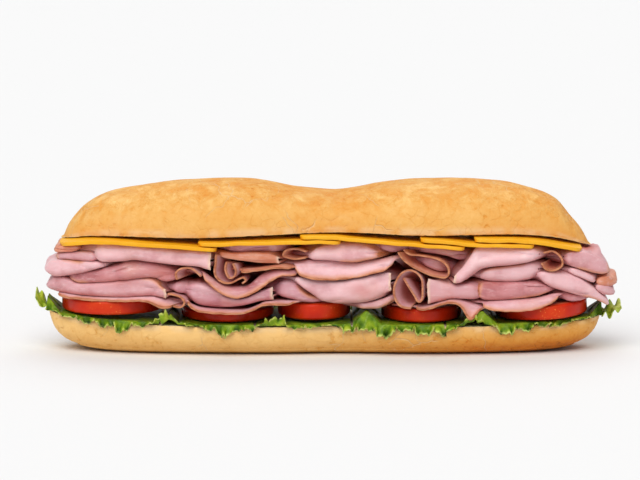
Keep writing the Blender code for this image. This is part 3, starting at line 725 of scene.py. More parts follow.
def tomato_flesh_material():
    made, tree, shader = new_material("tomato_flesh")
    place = object_place(tree)
    cells = add(tree, "ShaderNodeTexVoronoi", feature="F1")
    cells.inputs["Scale"].default_value = 150.0
    tree.links.new(place, cells.inputs["Vector"])
    seeds = between(tree, cells.outputs["Distance"], 0.12, 0.3, 1.0, 0.0)
    cloud = noise_node(tree, place, 80.0)
    flesh = mix(tree, between(tree, cloud, 0.35, 0.65), (0.62, 0.06, 0.02), (0.80, 0.18, 0.07))
    colour = mix(tree, seeds, flesh, (0.86, 0.58, 0.20))
    tree.links.new(colour, shader.inputs["Base Color"])
    tree.links.new(between(tree, cells.outputs["Distance"], 0.1, 0.5, 0.2, 0.38), shader.inputs["Roughness"])
    bump(tree, shader, cells.outputs["Distance"], 0.3, 0.0006)
    return made


def lettuce_material():
    """Green leaf, painted darker in its hollows as shade and lighter where its ruffles stand out as light,
    with a paler frilled edge and ribs.
    """
    made, tree, shader = new_material("lettuce_leaf")
    place = object_place(tree)
    cloud = noise_node(tree, place, 130.0, 4.0, 0.6)
    # Painted light and shade: the ruffles' attribute lightens where they stand out and darkens their hollows
    shade = sums(tree, "ADD", cloud, sums(tree, "MULTIPLY", attribute(tree, "ruffle_light"), 0.34))
    colour = ramp(tree, shade, [
        (0.22, (0.014, 0.042, 0.002)),
        (0.42, (0.080, 0.170, 0.006)),
        (0.58, (0.215, 0.335, 0.012)),
        (0.80, (0.42, 0.51, 0.035)),
    ])
    rim = between(tree, attribute(tree, "edge"), 0.2, 1.4, 0.95, 0.0)
    rim = sums(tree, "MULTIPLY", rim, between(tree, noise_node(tree, place, 260.0), 0.35, 0.6))
    colour = mix(tree, rim, colour, (0.60, 0.66, 0.17))
    colour = mix(tree, attribute(tree, "rib"), colour, (0.48, 0.58, 0.20))
    tree.links.new(colour, shader.inputs["Base Color"])
    tree.links.new(between(tree, cloud, 0.3, 0.7, 0.36, 0.54), shader.inputs["Roughness"])
    shader.inputs["Specular IOR Level"].default_value = 0.18
    shader.inputs["Subsurface Weight"].default_value = 0.1
    shader.inputs["Subsurface Radius"].default_value = (0.001, 0.002, 0.0004)
    bump(tree, shader, noise_node(tree, place, 380.0, 4.0), 0.4, 0.0007)
    return made


def ham_group():
    """Cooked ham from three tints: cloudy and fibrous, tan at a free edge, cream where cut, painted darker
    inside as shade.
    """
    group = bpy.data.node_groups.new("ham_flesh", "ShaderNodeTree")
    group.interface.new_socket(name="Place", in_out="INPUT", socket_type="NodeSocketVector")
    for label in ("Edge", "Cut", "Inside"):
        group.interface.new_socket(name=label, in_out="INPUT", socket_type="NodeSocketFloat")
    for label in ("Deep", "Plain", "Light"):
        group.interface.new_socket(name=label, in_out="INPUT", socket_type="NodeSocketColor")
    group.interface.new_socket(name="Color", in_out="OUTPUT", socket_type="NodeSocketColor")
    for label in ("Roughness", "Coat", "Height"):
        group.interface.new_socket(name=label, in_out="OUTPUT", socket_type="NodeSocketFloat")
    given = add(group, "NodeGroupInput").outputs
    made = add(group, "NodeGroupOutput").inputs
    cloud = noise_node(group, given["Place"], 62.0, 4.0, 0.6)
    stretch = add(group, "ShaderNodeMapping")
    stretch.inputs["Scale"].default_value = (0.35, 1.0, 1.7)
    group.links.new(given["Place"], stretch.inputs["Vector"])
    fibres = noise_node(group, stretch.outputs["Vector"], 380.0, 4.0, 0.65)
    warm = noise_node(group, given["Place"], 28.0, 2.0, 0.5)
    colour = mix(group, between(group, cloud, 0.28, 0.5), given["Deep"], given["Plain"])
    colour = mix(group, between(group, cloud, 0.5, 0.72), colour, given["Light"])
    colour = mix(group, between(group, warm, 0.52, 0.66, 0.0, 0.5), colour, (0.70, 0.36, 0.29))
    colour = mix(group, between(group, fibres, 0.50, 0.76, 0.0, 0.45), colour, (0.86, 0.62, 0.63))
    # Painted shade: the Inside input mixes in dark red deep inside the slices, towards the foot of a fold and
    # in darker patches
    colour = mix(group, given["Inside"], colour, (0.50, 0.13, 0.10))
    edge = sums(group, "ADD", given["Edge"], sums(group, "MULTIPLY_ADD", cloud, 2.6, -1.3))
    fat = between(group, edge, 0.6, 2.6, 0.8, 0.0)
    colour = mix(group, fat, colour, (0.72, 0.33, 0.21))
    rind = between(group, edge, 0.1, 1.1, 0.95, 0.0)
    tan = mix(group, between(group, fibres, 0.35, 0.65), (0.38, 0.105, 0.035), (0.62, 0.255, 0.12))
    colour = mix(group, rind, colour, tan)
    cut = between(group, given["Cut"], 0.4, 2.0, 0.8, 0.0)
    colour = mix(group, cut, colour, (0.80, 0.56, 0.42))
    group.links.new(colour, made["Color"])
    dull = sums(group, "MULTIPLY", given["Inside"], 0.5)
    group.links.new(sums(group, "ADD", between(group, fibres, 0.3, 0.7, 0.36, 0.5), dull), made["Roughness"])
    group.links.new(sums(group, "MULTIPLY_ADD", given["Inside"], -0.26, 0.26), made["Coat"])
    group.links.new(sums(group, "ADD", fibres, cloud), made["Height"])
    return group


def ham_material(name, group, deep, plain, light):
    made, tree, shader = new_material(name)
    flesh = add(tree, "ShaderNodeGroup")
    flesh.node_tree = group
    tree.links.new(object_place(tree), flesh.inputs["Place"])
    for label in ("Edge", "Cut", "Inside"):
        tree.links.new(attribute(tree, label.lower()), flesh.inputs[label])
    for label, tint in (("Deep", deep), ("Plain", plain), ("Light", light)):
        flesh.inputs[label].default_value = (*tint, 1.0)
    tree.links.new(flesh.outputs["Color"], shader.inputs["Base Color"])
    tree.links.new(flesh.outputs["Roughness"], shader.inputs["Roughness"])
    tree.links.new(flesh.outputs["Coat"], shader.inputs["Coat Weight"])
    shader.inputs["Coat Roughness"].default_value = 0.3
    shader.inputs["Specular IOR Level"].default_value = 0.3
    shader.inputs["Subsurface Weight"].default_value = 0.12
    shader.inputs["Subsurface Radius"].default_value = (0.003, 0.0012, 0.001)
    bump(tree, shader, flesh.outputs["Height"], 0.34, 0.0006)
    return made


# Roll

def signed_power(value, power):
    return math.copysign(abs(value) ** power, value)


def rim_round(half, across, up, cut, side):
    """The cut face with its rim rounded over; side is 1 where the crust is above the cut."""
    turn = min(up / RIM_SHARE, 1.0) * math.pi / 2
    y = (half - RIM_ROUND + RIM_ROUND * math.cos(turn)) * across
    return y, cut + side * RIM_ROUND * (1 - math.sin(turn))


def top_section(x, across, up):
    half = roll_half_depth(x, TOP_ENDS)
    cut = along(TOP_CUT, x)
    height = max(along(CREST, x) - cut, 0.0)
    round_share = min(1.0, height / TOP_THIN)
    if up < 0:
        return rim_round(half, across, -up, cut, round_share)
    lift = RIM_ROUND * round_share
    rise = max(height - lift, 0.0) * up ** TOP_SQUARE[1]
    return half * signed_power(across, TOP_SQUARE[0]), cut + lift + rise


def bottom_section(x, across, up):
    half = roll_half_depth(x, BOTTOM_ENDS)
    cut = bottom_cut(x)
    if up > 0:
        return rim_round(half, across, up, cut, -1)
    depth = (cut + BOTTOM_ROUND_EDGE) * blunt(x, *BOTTOM_ENDS, power=BOTTOM_BLUNT)
    low = cut - RIM_ROUND - (depth - RIM_ROUND) * abs(up) ** BOTTOM_SQUARE[1]
    return half * signed_power(across, BOTTOM_SQUARE[0]), max(min(low, cut), 0.0)


def crack_near(x, y, z, seed):
    """1 on the thin lines of a net of cells, 0 away from them."""
    warp = Vector((grainy(x, y, z, 13, 3.1), grainy(x, y, z, 13, 7.7), grainy(x, y, z, 13, 9.2))) * 7.0
    spot = (Vector((x * 0.8, y, z)) + warp) / CRACK_CELL + Vector((seed, seed, seed))
    far = noise.voronoi(spot)[0]
    return 1 - smooth(0.0, CRACK_WIDE, far[1] - far[0])


def crust_relief(x, y, z, seed):
    """How far the crust is pushed out at a place, and how pale its cracks and flakes leave it there."""
    dents = sum(depth * grainy(x, y, z, size, start) for depth, size, start in DENTS)
    wrinkles = CRUST_WRINKLE * abs(grainy(x * 0.5, y * 1.6, z * 1.6, 4.5, 4.0))
    wrinkles += CRUST_GRAIN * grainy(x, y, z, 2.2, 6.0)
    crack = crack_near(x, y, z, seed) * smooth(0.05, 0.3, grainy(x, y, z, 26, 11.0))
    flake = smooth(0.25, 0.45, grainy(x, y, z, 9, 21.0)) * smooth(0.15, 0.4, grainy(x, y, z, 40, 15.0))
    push = dents - CRUST_INSET - wrinkles - CRACK_DEPTH * crack - FLAKE_DEPTH * flake
    return push, 0.06 * crack + 0.05 * flake


def roll_half(name, ends, section, tone_of, crust, crumb, top):
    """Half of the roll: a sphere drawn out along X, with dents, wrinkles and cracks, and open crumb."""
    shape = bmesh.new()
    bmesh.ops.create_uvsphere(shape, u_segments=ROLL_SIDES, v_segments=ROLL_RINGS, radius=1.0)
    tone_layer = shape.verts.layers.float.new("tone")
    pale_layer = shape.verts.layers.float.new("pale")
    peel_layer = shape.verts.layers.float.new("peeling")
    cut_side = -1 if top else 1
    middle = (ends[0] + ends[1]) / 2
    half_length = (ends[1] - ends[0]) / 2
    on_cut = {}
    for vert in shape.verts:
        share = max(-1.0, min(1.0, vert.co.z))
        x = middle + half_length * share
        turn = math.atan2(vert.co.y, vert.co.x)
        across, up = math.cos(turn), math.sin(turn)
        y, z = section(x, across, up)
        flat = up * cut_side > 0.05
        on_cut[vert.index] = flat
        if flat:
            z -= cut_side * (0.5 * abs(grainy(x, y, 0, 3.2)) + 0.3 * abs(grainy(x, y, 0, 1.6, 5.0)))
        else:
            ring = math.sqrt(max(1 - share * share, 0.0))
            out = Vector((share * 0.8, across * (0.2 + ring), up * (0.2 + ring))).normalized()
            push, pale = crust_relief(x, y, z, 0.4 if top else 8.3)
            push *= smooth(0.0, 0.12, ring)
            if top or z > FLOOR_CLEAR:
                x += push * out.x
                y += push * out.y
                z += push * out.z * (1.0 if top else 0.5)
            floury = FLOUR * (1 - smooth(0.0, 0.11, abs(up))) * smooth(-0.5, 0.3, grainy(x, y, z, 6, 31.0))
            vert[pale_layer] = min(pale + floury, 0.85)
            vert[peel_layer] = 0.15 + 0.85 * smooth(0.25, 0.75, up) if top else 0.12
            vert[tone_layer] = tone_of(x, z, up)
        vert.co = (x, y, max(z, 0.0))
    if shape.calc_volume(signed=True) < 0:
        bmesh.ops.reverse_faces(shape, faces=shape.faces)
    for face in shape.faces:
        face.material_index = int(all(on_cut[vert.index] for vert in face.verts))
    return finish(name, shape, (crust, crumb))


def top_tone(x, z, up):
    """Golden, a little deeper over the top, at the waist and towards the right; the waist and the right are
    painted shade.
    """
    crown = 0.03 * smooth(0.55, 1.0, up)
    # Painted shade: deeper in the hollow of the waist
    saddle_shade = 0.10 * math.exp(-(((x - 4) / 24) ** 2))
    # Painted shade: a little deeper towards the right, away from the light
    return 0.30 + crown + saddle_shade + 0.05 * smooth(0, 130, x)


def bottom_tone(x, z, up):
    """Pale just below the cut, browner low down and at the base, and browner towards the right, which is
    painted shade.
    """
    low = 1 - smooth(2.0, 15.0, z)
    base = 0.3 * (1 - smooth(0.0, 1.6, z))
    # Painted shade: browner towards the right, away from the light
    return 0.16 * low + base + 0.70 * smooth(-40, 150, x) * (0.5 + 0.5 * low)


# Fillings

def cheese_slice(name, left, right, heights, surface):
    """A square slice with round corners whose edges droop a little over the ham."""
    shape = bmesh.new()
    for vert, u, v in grid(shape, *CHEESE_GRID):
        x = left + u * (right - left)
        side = 2 * v - 1
        reach = CHEESE_HALF_DEPTH * (0.25 + 0.75 * blunt(x, *CHEESE_ENDS, FILL_BLUNT)) - 0.7 * waist(x)
        from_end = min(x - left, right - x)
        if from_end < CHEESE_CORNER:
            reach -= CHEESE_CORNER - math.sqrt(max(CHEESE_CORNER ** 2 - (CHEESE_CORNER - from_end) ** 2, 0.0))
        y = side * (reach - 0.4 + 0.5 * grainy(x, side, 0, 18, left))
        hang = 0.7 * abs(side) ** 4 + 0.35 * abs(side) ** 6 * grainy(x, side * 9, 0, 9, left)
        vert.co = (x, y, along(heights, x) - hang + 0.15 * grainy(x, y, 0, 16, left))
    piece = finish(name, shape, (surface,))
    thicken(piece, CHEESE_THICK, 0.5)
    return piece


def tomato_slice(name, middle, half_length, half_depth, underside, thick, lean, skin, flesh):
    """A turned slice: rounded skin at the rim, wet flesh on both faces."""
    shape = bmesh.new()
    half = thick / 2
    outline = [(0.0, half)] + [(r, half - 0.25 * math.sin(r * 12)) for r in TOMATO_RINGS]
    inset = TOMATO_ROUND / half_length
    for step in range(7):
        turn = step / 6 * math.pi / 2
        outline.append((1 - inset + inset * math.sin(turn), half - TOMATO_ROUND * (1 - math.cos(turn))))
    outline.append((1.0, 0.0))
    outline += [(r, -z) for r, z in outline[-2::-1]]
    verts = [shape.verts.new((r, 0.0, z)) for r, z in outline]
    edges = [shape.edges.new(pair) for pair in zip(verts, verts[1:])]
    bmesh.ops.spin(shape, geom=verts + edges, cent=(0, 0, 0), axis=(0, 0, 1), angle=math.tau,
                   steps=TOMATO_STEPS, use_merge=True)
    bmesh.ops.remove_doubles(shape, verts=shape.verts, dist=0.0001)
    lean_turn = math.radians(lean)
    on_rim = {}
    for vert in shape.verts:
        on_rim[vert.index] = math.hypot(vert.co.x, vert.co.y) > 1 - inset * 0.75
        uneven = grainy(vert.co.x * 30, vert.co.y * 30, vert.co.z, 14, middle)
        bulge = 1 - TOMATO_UNEVEN + TOMATO_UNEVEN * uneven
        x = vert.co.x * half_length * bulge
        y = vert.co.y * half_depth * bulge
        z = vert.co.z
        vert.co = (middle + x * math.cos(lean_turn) + z * math.sin(lean_turn), y,
                   underside + half - x * math.sin(lean_turn) + z * math.cos(lean_turn))
    bmesh.ops.recalc_face_normals(shape, faces=shape.faces)
    for face in shape.faces:
        face.material_index = 0 if all(on_rim[vert.index] for vert in face.verts) else 1
    return finish(name, shape, (skin, flesh))


# How far the frill hangs below the cut along the roll; below 0 it stands up between the tomatoes
LEAF_FALL = [(-155, 0.5), (-148, 1), (-140, 2), (-130, 5.5), (-107, 5.8), (-101, 3), (-96, -1), (-91, -6.5),
             (-84, -6), (-80, -1), (-76, 0.8), (-72, 0.8), (-67, 5.5), (-43, 5.8), (-39, 1), (-35, -4.5),
             (-26, -5), (-22, 0), (-18, 3.2), (-10, 3.2), (-6, 0.8), (4, 0.8), (9, 5.2), (22, 6), (62, 6),
             (69, 4), (75, -3), (80, -5), (85, -3.5), (89, 1.5), (94, 6), (103, 5.8), (109, 4.2), (120, 3.4),
             (132, 2), (140, 0.8), (150, 0.5)]


def between_tomatoes(x):
    """How high the middle of a leaf rises at x, in the gaps that the tomatoes leave."""
    room = min(max(abs(x - middle) - half_length, 0.0) for _, middle, half_length, *_ in TOMATO)
    return min(0.9 * room, 7.0)


def lobe(x, seed):
    """0 in the slits of the frill and up to 1 in the middle of its lobes, which differ in size."""
    spot = x / LOBE + seed + 0.3 * grainy(x, 0, 0, 14, seed)
    cell = math.floor(spot)
    size = 0.62 + 0.38 * math.sin(cell * 2.4 + seed * 5.0)
    return size * math.sin(math.pi * (spot - cell)) ** 0.55


def sprig(x, row, past, seed, mid):
    """The end of a leaf that stands out past the end of the roll, narrow and curled."""
    rise = SPRIG_RISE[0] if x < 0 else SPRIG_RISE[1]
    y = row * (6.0 + 1.8 * math.sin(x * 1.1 + seed) + 0.8 * math.sin(x * 2.9))
    z = bottom_cut(x) + LEAF_ABOVE_CUT + rise * (past / SPRIG_LENGTH)
    z += 1.4 * row * math.sin(x / 5 * math.tau) + 0.7 * row * mid
    z += SPRIG_CURL * row * smooth(0.0, 4.0, past) * (1 - 0.5 * smooth(4.0, 8.0, past))
    return x, y, z


def lettuce_leaf(name, left, right, start, surface):
    """A leaf on the cut face whose frilled lobes hang over the rim or stand up, front and back."""
    shape = bmesh.new()
    edge_layer = shape.verts.layers.float.new("edge")
    rib_layer = shape.verts.layers.float.new("rib")
    ruffle_light_layer = shape.verts.layers.float.new("ruffle_light")
    for vert, u, v in grid(shape, round((right - left) / LEAF_STEP), LEAF_ROWS):
        x = left + u * (right - left)
        row = crowded(2 * v - 1, 1.25)
        reach = abs(row)
        side = math.copysign(1.0, row)
        seed = start + 4.0 * side
        wide, mid, tight = (
            math.sin(x / length * math.tau + turns * seed + wander * grainy(x, side, 0, size, seed))
            for turns, (length, wander, size) in enumerate(LEAF_WAVES, 1)
        )
        past = max(BOTTOM_ENDS[0] - 1.0 - x, x - BOTTOM_ENDS[1] - 1.0, 0.0)
        if past > 0:
            vert.co = sprig(x, row, past, seed, mid)
            vert[edge_layer] = min((1 - reach) * LEAF_DEPTH, SPRIG_LENGTH - past)
            # Painted light: a sprig is made lighter
            vert[ruffle_light_layer] = 0.6 + 0.4 * mid
            continue
        inner = min(reach / LEAF_FLAT_SHARE, 1.0)
        outer = max(reach - LEAF_FLAT_SHARE, 0.0) / (1 - LEAF_FLAT_SHARE)
        hang = max(outer - 0.22, 0.0) / 0.78
        ruffle = hang * wide + 1.4 * hang ** 1.3 * mid + 0.6 * hang ** 2.2 * tight
        fall = along(LEAF_FALL, x)
        drape = fall * (0.12 + 0.88 * lobe(x, seed)) if fall > 0 else fall * (0.45 + 0.55 * lobe(x, seed))
        y = inner * max(roll_half_depth(x, BOTTOM_ENDS) - 1.2, 6.0) + outer * 2.6 + 1.05 * ruffle
        y += (0.5 if fall > 0 else -0.6) * hang
        curl = 1.5 * hang * (0.5 * wide + 0.7 * mid) + 0.6 * hang ** 2 * tight
        z = bottom_cut(x) + LEAF_ABOVE_CUT
        z += between_tomatoes(x) * (1 - smooth(0.1, 0.75, outer)) * smooth(0.0, 0.1, reach)
        z += curl * min(1.0, 0.35 + abs(fall) / 6) - drape * hang ** 1.15
        z += 0.15 * inner * grainy(x, row * 30, 0, 6)
        x += 1.3 * hang * math.cos(x / LOBE * math.tau + seed) * min(1.0, (x - left) / 3, (right - x) / 3)
        x += LEAF_LAP * hang * (2 * u - 1) ** 9
        vert.co = (x, side * y, z)
        vert[edge_layer] = (1 - outer) * LEAF_DEPTH
        # Painted light and shade: lighter where the ruffle stands out, darker in its hollows
        vert[ruffle_light_layer] = max(min(0.6 * ruffle, 1.0), -1.0) * hang
        vein = abs(math.sin(x / VEIN * math.tau + 3.6 * reach + start))
        vert[rib_layer] = 0.3 * (1 - smooth(0.03, 0.12, vein)) * (1 - smooth(0.2, 0.8, hang))
    piece = finish(name, shape, (surface,))
    thicken(piece, LEAF_THICK, 0.15)
    return piece


def undersides():
    """Left end, right end and height function of the underside of every slice of ham and cheese."""
    found = []
    for _, left, right, heights in CHEESE:
        found.append((left, right, lambda x, h=heights: along(h, x) - CHEESE_THICK / 2))
    for _, kind, _, upper, lower in HAM_FOLDS:
        drop = HAM_THICK / 2 if kind == "flat" else 0.0
        found.append((upper[0][0], upper[-1][0], lambda x, h=lower or upper, d=drop: along(h, x) - d))
    for _, _, points in HAM_CURLS:
        for a, b in zip(points, points[1:]):
            low = min(a[1], b[1]) - HAM_THICK / 2
            found.append((min(a[0], b[0]), max(a[0], b[0]), lambda x, h=low: h))
    return found


def ceiling(x, high, found):
    """The lowest underside above the height high, near x."""
    heights = []
    for left, right, underside in found:
        for near in (-8, -4, 0, 4, 8):
            spot = x + near
            if left - 1 <= spot <= right + 1 and underside(spot) > high - 0.3:
                heights.append(underside(spot))
    return min(heights, default=high)


def shade_patch(x, z):
    """1 in the middle of the darker red patches of painted shade on the ham and 0 away from them."""
    return max(math.exp(-(((x - px) / wide) ** 2) - ((z - pz) / high) ** 2) for px, pz, wide, high in SHADE_PATCHES)


def eased(u):
    """Column shares that lie closer together towards both ends."""
    return 0.45 * u + 0.55 * (3 * u * u - 2 * u ** 3)


def end_share(from_left, from_right, cuts, near):
    """1 inside a slice and 0 at an end that rounds over; an end that is cut stays 1."""
    share = 1.0
    for distance, cut in ((from_left, cuts[0]), (from_right, cuts[1])):
        if not cut:
            t = min(max(distance, 0.0) / near, 1.0)
            share *= math.sqrt(max(1 - (1 - t) ** 2, 0.0))
    return share


def inner_run(inner, height, rise):
    """Points of the run between front and back, which puffs up in the middle."""
    run = []
    for step in range(1, INNER_ROWS):
        y = inner * (2 * step / INNER_ROWS - 1)
        puffed = smooth(0.0, max(inner - min(PUFF_HALF_DEPTH, 0.5 * inner), 1.0), inner - abs(y))
        run.append((y, height + rise * puffed, FAR))
    return run


def rolled_rows(half, low, high, rise, pressed):
    """Section (y, z, distance from a free edge) of a slice folded over at the front and the back."""
    tall = high - low
    depth = min(0.5 * tall + 0.4, FOLD_DEPTH) * (1 - PRESS_SHARE * pressed)
    front = []
    for step in range(FRONT_ROWS + 1):
        turn = (step / FRONT_ROWS - 0.5) * math.pi
        out = max(math.cos(turn), 0.0) ** FOLD_ROUND[0]
        up = signed_power(math.sin(turn), FOLD_ROUND[1])
        lean = FOLD_LEAN * (1 - abs(up)) if up < 0 else 0.0
        front.append((-(half - depth * (1 - out) + lean), low + tall * (0.5 + 0.5 * up), FAR))
    inner = half - depth
    low_run = [(-FOLD_SEAM, low, FAR), (-0.5 * inner, low, FAR)]
    back = [(-y, z, edge) for y, z, edge in (low_run + front)[::-1]]
    return low_run + front + inner_run(inner, high, rise) + back


def hanging_rows(half, low, high, rise):
    """The same for a slice whose free edge hangs down at the front and the back."""
    depth = min(0.8 * (high - low + 1.6), HANG_DEPTH)
    front = []
    for step in range(FRONT_ROWS + 1):
        turn = step / FRONT_ROWS * math.pi / 2
        back = depth * (1 - max(math.cos(turn), 0.0) ** HANG_ROUND[0])
        up = max(math.sin(turn), 0.0) ** HANG_ROUND[1]
        flare = HANG_FLARE * (1 - step / FRONT_ROWS) ** 2
        from_edge = (high - low + depth) * step / FRONT_ROWS
        front.append((-(half - back + flare), low + up * (high - low), from_edge))
    back = [(-y, z, edge) for y, z, edge in front[::-1]]
    return front + inner_run(half - depth, front[-1][1], rise) + back


def flat_rows(half, height, hang):
    """The same for a slice that lies flat, with an edge that droops at the front and the back."""
    rows = []
    for step in range(FLAT_ROWS + 1):
        side = crowded(2 * step / FLAT_ROWS - 1, 1.6)
        from_edge = (1 - abs(side)) * half
        at_edge = 1 - smooth(0.0, FLAT_EDGE, from_edge)
        rows.append((side * (half + FLAT_OUT * at_edge), height + FLAT_LIFT - hang * at_edge, from_edge))
    return rows


def pressed_share(x, left, right, cuts):
    """1 where a cut end is pressed flat and 0 from PRESS_REACH on in."""
    ends = [far for far, cut in zip((x - left, right - x), cuts) if cut]
    return max([1 - smooth(0.0, PRESS_REACH, far) for far in ends], default=0.0)


def slice_section(name, kind, reach, upper, lower, found, x):
    """Section of a slice of ham at x, as rows of y, z and distance from a free edge."""
    left, right = upper[0][0], upper[-1][0]
    cuts = HAM_CUT_ENDS.get(name, (False, False))
    share = end_share(x - left, right - x, cuts, END_ROUND)
    back = MAUVE_END_BACK if name in MAUVE_SLICES else END_BACK
    half = fill_half_depth(x) + reach - HAM_THIN / 2 - back * (1 - share)
    if kind == "flat":
        tip_at, tip_wide, tip = HAM_TIPS.get(name, (0.0, 1.0, 0.0))
        hang = FLAT_DROOP * share + tip * math.exp(-(((x - tip_at) / tip_wide) ** 2))
        return flat_rows(half, along(upper, x), hang)
    low = along(lower, x) + HAM_THIN / 2 - HAM_SWELL
    high = max(along(upper, x) - HAM_THIN / 2 + HAM_SWELL, low + HAM_LEAST)
    squeeze = 0.35 * (high - low - 1.0) * (1 - share)
    low, high = low + squeeze, high - squeeze
    room = ceiling(x, high + HAM_THIN / 2, found) - PUFF_CLEAR - HAM_THIN / 2 - high
    rise = max(min(room, PUFF_MOST), 0.0)
    if kind == "hang":
        return hanging_rows(half, low, high, rise)
    return rolled_rows(half, low, high, rise, pressed_share(x, left, right, cuts))


def waved_front(x, y, z, edge, inset, seed):
    """Waves and creases the front and back of a slice, ruffles its free edge and says how near they are."""
    near = 1 - smooth(0.0, LEAN_REACH, inset)
    free = near * (1 - smooth(0.0, FREE_REACH, edge))
    side = math.copysign(1.0, y)
    waves = 1.5 * grainy(x, z * 2.0, side * 3, 24, seed) - 0.5
    waves += 0.3 * grainy(x, z * 1.6, side * 3, 6, seed + 5)
    crease = 1 - smooth(0.0, CREASE_WIDE, abs(grainy(x * 0.2, z, side * 3, 5.0, seed + 9)))
    crease *= smooth(-0.3, 0.3, grainy(x, z, 0, 18, seed))
    y += side * near * (waves - CREASE_DEPTH * crease)
    y += side * free * 0.5 * grainy(x, side, 0, 4.5, seed + 2)
    lift = near * 0.3 * grainy(x, side * 3, z * 0.3, 11, seed + 3)
    z += lift + free * 0.35 * grainy(x, side, 0, 3.4, seed + 4)
    return y, z, near


def spread_inside(u, inset, pressed):
    """How far the inside of a slice reaches past its ends, which closes the gaps between slices."""
    reach = INNER_SPREAD[1] if u > 0.5 else INNER_SPREAD[0]
    way = math.copysign(1.0, reach)
    round_end = reach * smooth(4.0, 14.0, inset) + 2.0 * way * smooth(1.5, 5.0, inset)
    cut_end = 0.8 * reach * smooth(7.0, 14.0, inset) - 1.2 * way * smooth(1.0, 3.0, inset)
    return (1 - pressed) * abs(2 * u - 1) ** 3 * round_end + pressed * cut_end


def swollen_inside(z, centre, u, inset, pressed):
    """Height inside a folded slice, which is fuller than at the front and closes towards its ends."""
    z += math.copysign(INNER_SWELL * smooth(2.5, 7.0, inset), z - centre)
    closed = INNER_CLOSE * max(abs(2 * u - 1) ** CLOSE_POWER, pressed)
    return z + closed * (centre - z) * smooth(1.5 - 0.7 * pressed, 4.5 - 2.4 * pressed, inset)


def rind_line(name, x, z, inset, upper, lower):
    """Distance from the part of a slice's outline that has a rind, or FAR where it has none."""
    if name not in HAM_RIND_LINES:
        return FAR
    way, start, stop = HAM_RIND_LINES[name]
    outline = along(upper if way > 0 else lower, x)
    off = 1 - smooth(start - 2, start + 4, x) * (1 - smooth(stop - 4, stop + 2, x))
    return 1.2 * max(way * (outline - z), 0.0) + 0.2 + max(inset - 4.0, 0.0) + 3.0 * off


def from_ends(x, left, right, ends):
    """Distance of x from those ends of a slice that are marked, or FAR."""
    return min([FAR] + [far for far, marked in zip((x - left, right - x), ends) if marked])


def ham_fold(name, kind, reach, upper, lower, found, surface):
    """One slice of ham: folded over, hanging with a free edge, or lying flat with a drooping edge."""
    shape = bmesh.new()
    edge_layer = shape.verts.layers.float.new("edge")
    cut_layer = shape.verts.layers.float.new("cut")
    inside_shade_layer = shape.verts.layers.float.new("inside")
    left, right = upper[0][0], upper[-1][0]
    columns = max(8, round((right - left) / HAM_STEP))
    seed = left * 0.37 + upper[0][1]
    cuts = HAM_CUT_ENDS.get(name, (False, False))
    rinds = HAM_RIND_ENDS.get(name, (False, False))
    sections = [
        slice_section(name, kind, reach, upper, lower, found, left + eased(column / columns) * (right - left))
        for column in range(columns + 1)
    ]
    rows = len(sections[0]) - 1
    for vert, u, v in grid(shape, columns, rows):
        x = left + eased(u) * (right - left)
        y, z, edge = sections[round(u * columns)][round(v * rows)]
        inset = fill_half_depth(x) + reach - abs(y)
        pressed = pressed_share(x, left, right, cuts)
        side = math.copysign(1.0, y)
        y, z, near = waved_front(x, y, z, edge, inset, seed)
        y -= side * HAM_LEAN.get(name, 0.0) * near * (along(upper, x) - z)
        # Painted shade: under darkens a fold towards its foot
        under = 0.0
        if kind == "fold":
            z = swollen_inside(z, (along(upper, x) + along(lower, x)) / 2, u, inset, pressed)
        if kind != "flat":
            low = along(lower, x)
            under = 1 - smooth(0.0, 0.45 * (along(upper, x) - low), z - low)
        spread = spread_inside(u, inset, pressed) * (1 - smooth(*PAST_ENDS, abs(x)))
        ragged = 0.7 * grainy(z, side * 4, 0, 2.6, seed + 7) * near * abs(2 * u - 1) ** 8
        vert.co = (bowed(x, y) + spread + ragged, y, z)
        edge = min(edge, rind_line(name, x, z, inset, upper, lower))
        vert[edge_layer] = min(edge, from_ends(x, left, right, rinds))
        vert[cut_layer] = from_ends(x, left, right, cuts) + max(inset - 2.5, 0.0)
        # Painted shade, carried by the inside attribute: darker deep inside the slice, towards the foot of a
        # fold and in the darker patches
        inside = smooth(4.0, 14.0, inset) * (1 - smooth(*INSIDE_SHADE_ENDS, abs(x)))
        vert[inside_shade_layer] = max(inside, 0.45 * under, 0.55 * shade_patch(x, z))
    piece = finish(name, shape, (surface,))
    thicken(piece, HAM_THIN, HAM_SOFT)
    return piece


def smooth_line(points, count):
    """Evenly numbered points on a smooth curve through the given ones."""
    last = len(points) - 1
    made = []
    for step in range(count + 1):
        spot = step / count * last
        k = min(int(spot), last - 1)
        t = spot - k
        a, b, c, d = (points[min(max(k + i, 0), last)] for i in (-1, 0, 1, 2))
        made.append([
            0.5 * (2 * b[i] + (c[i] - a[i]) * t + (2 * a[i] - 5 * b[i] + 4 * c[i] - d[i]) * t ** 2
                   + (3 * b[i] - a[i] - 3 * c[i] + d[i]) * t ** 3)
            for i in (0, 1)
        ])
    return made


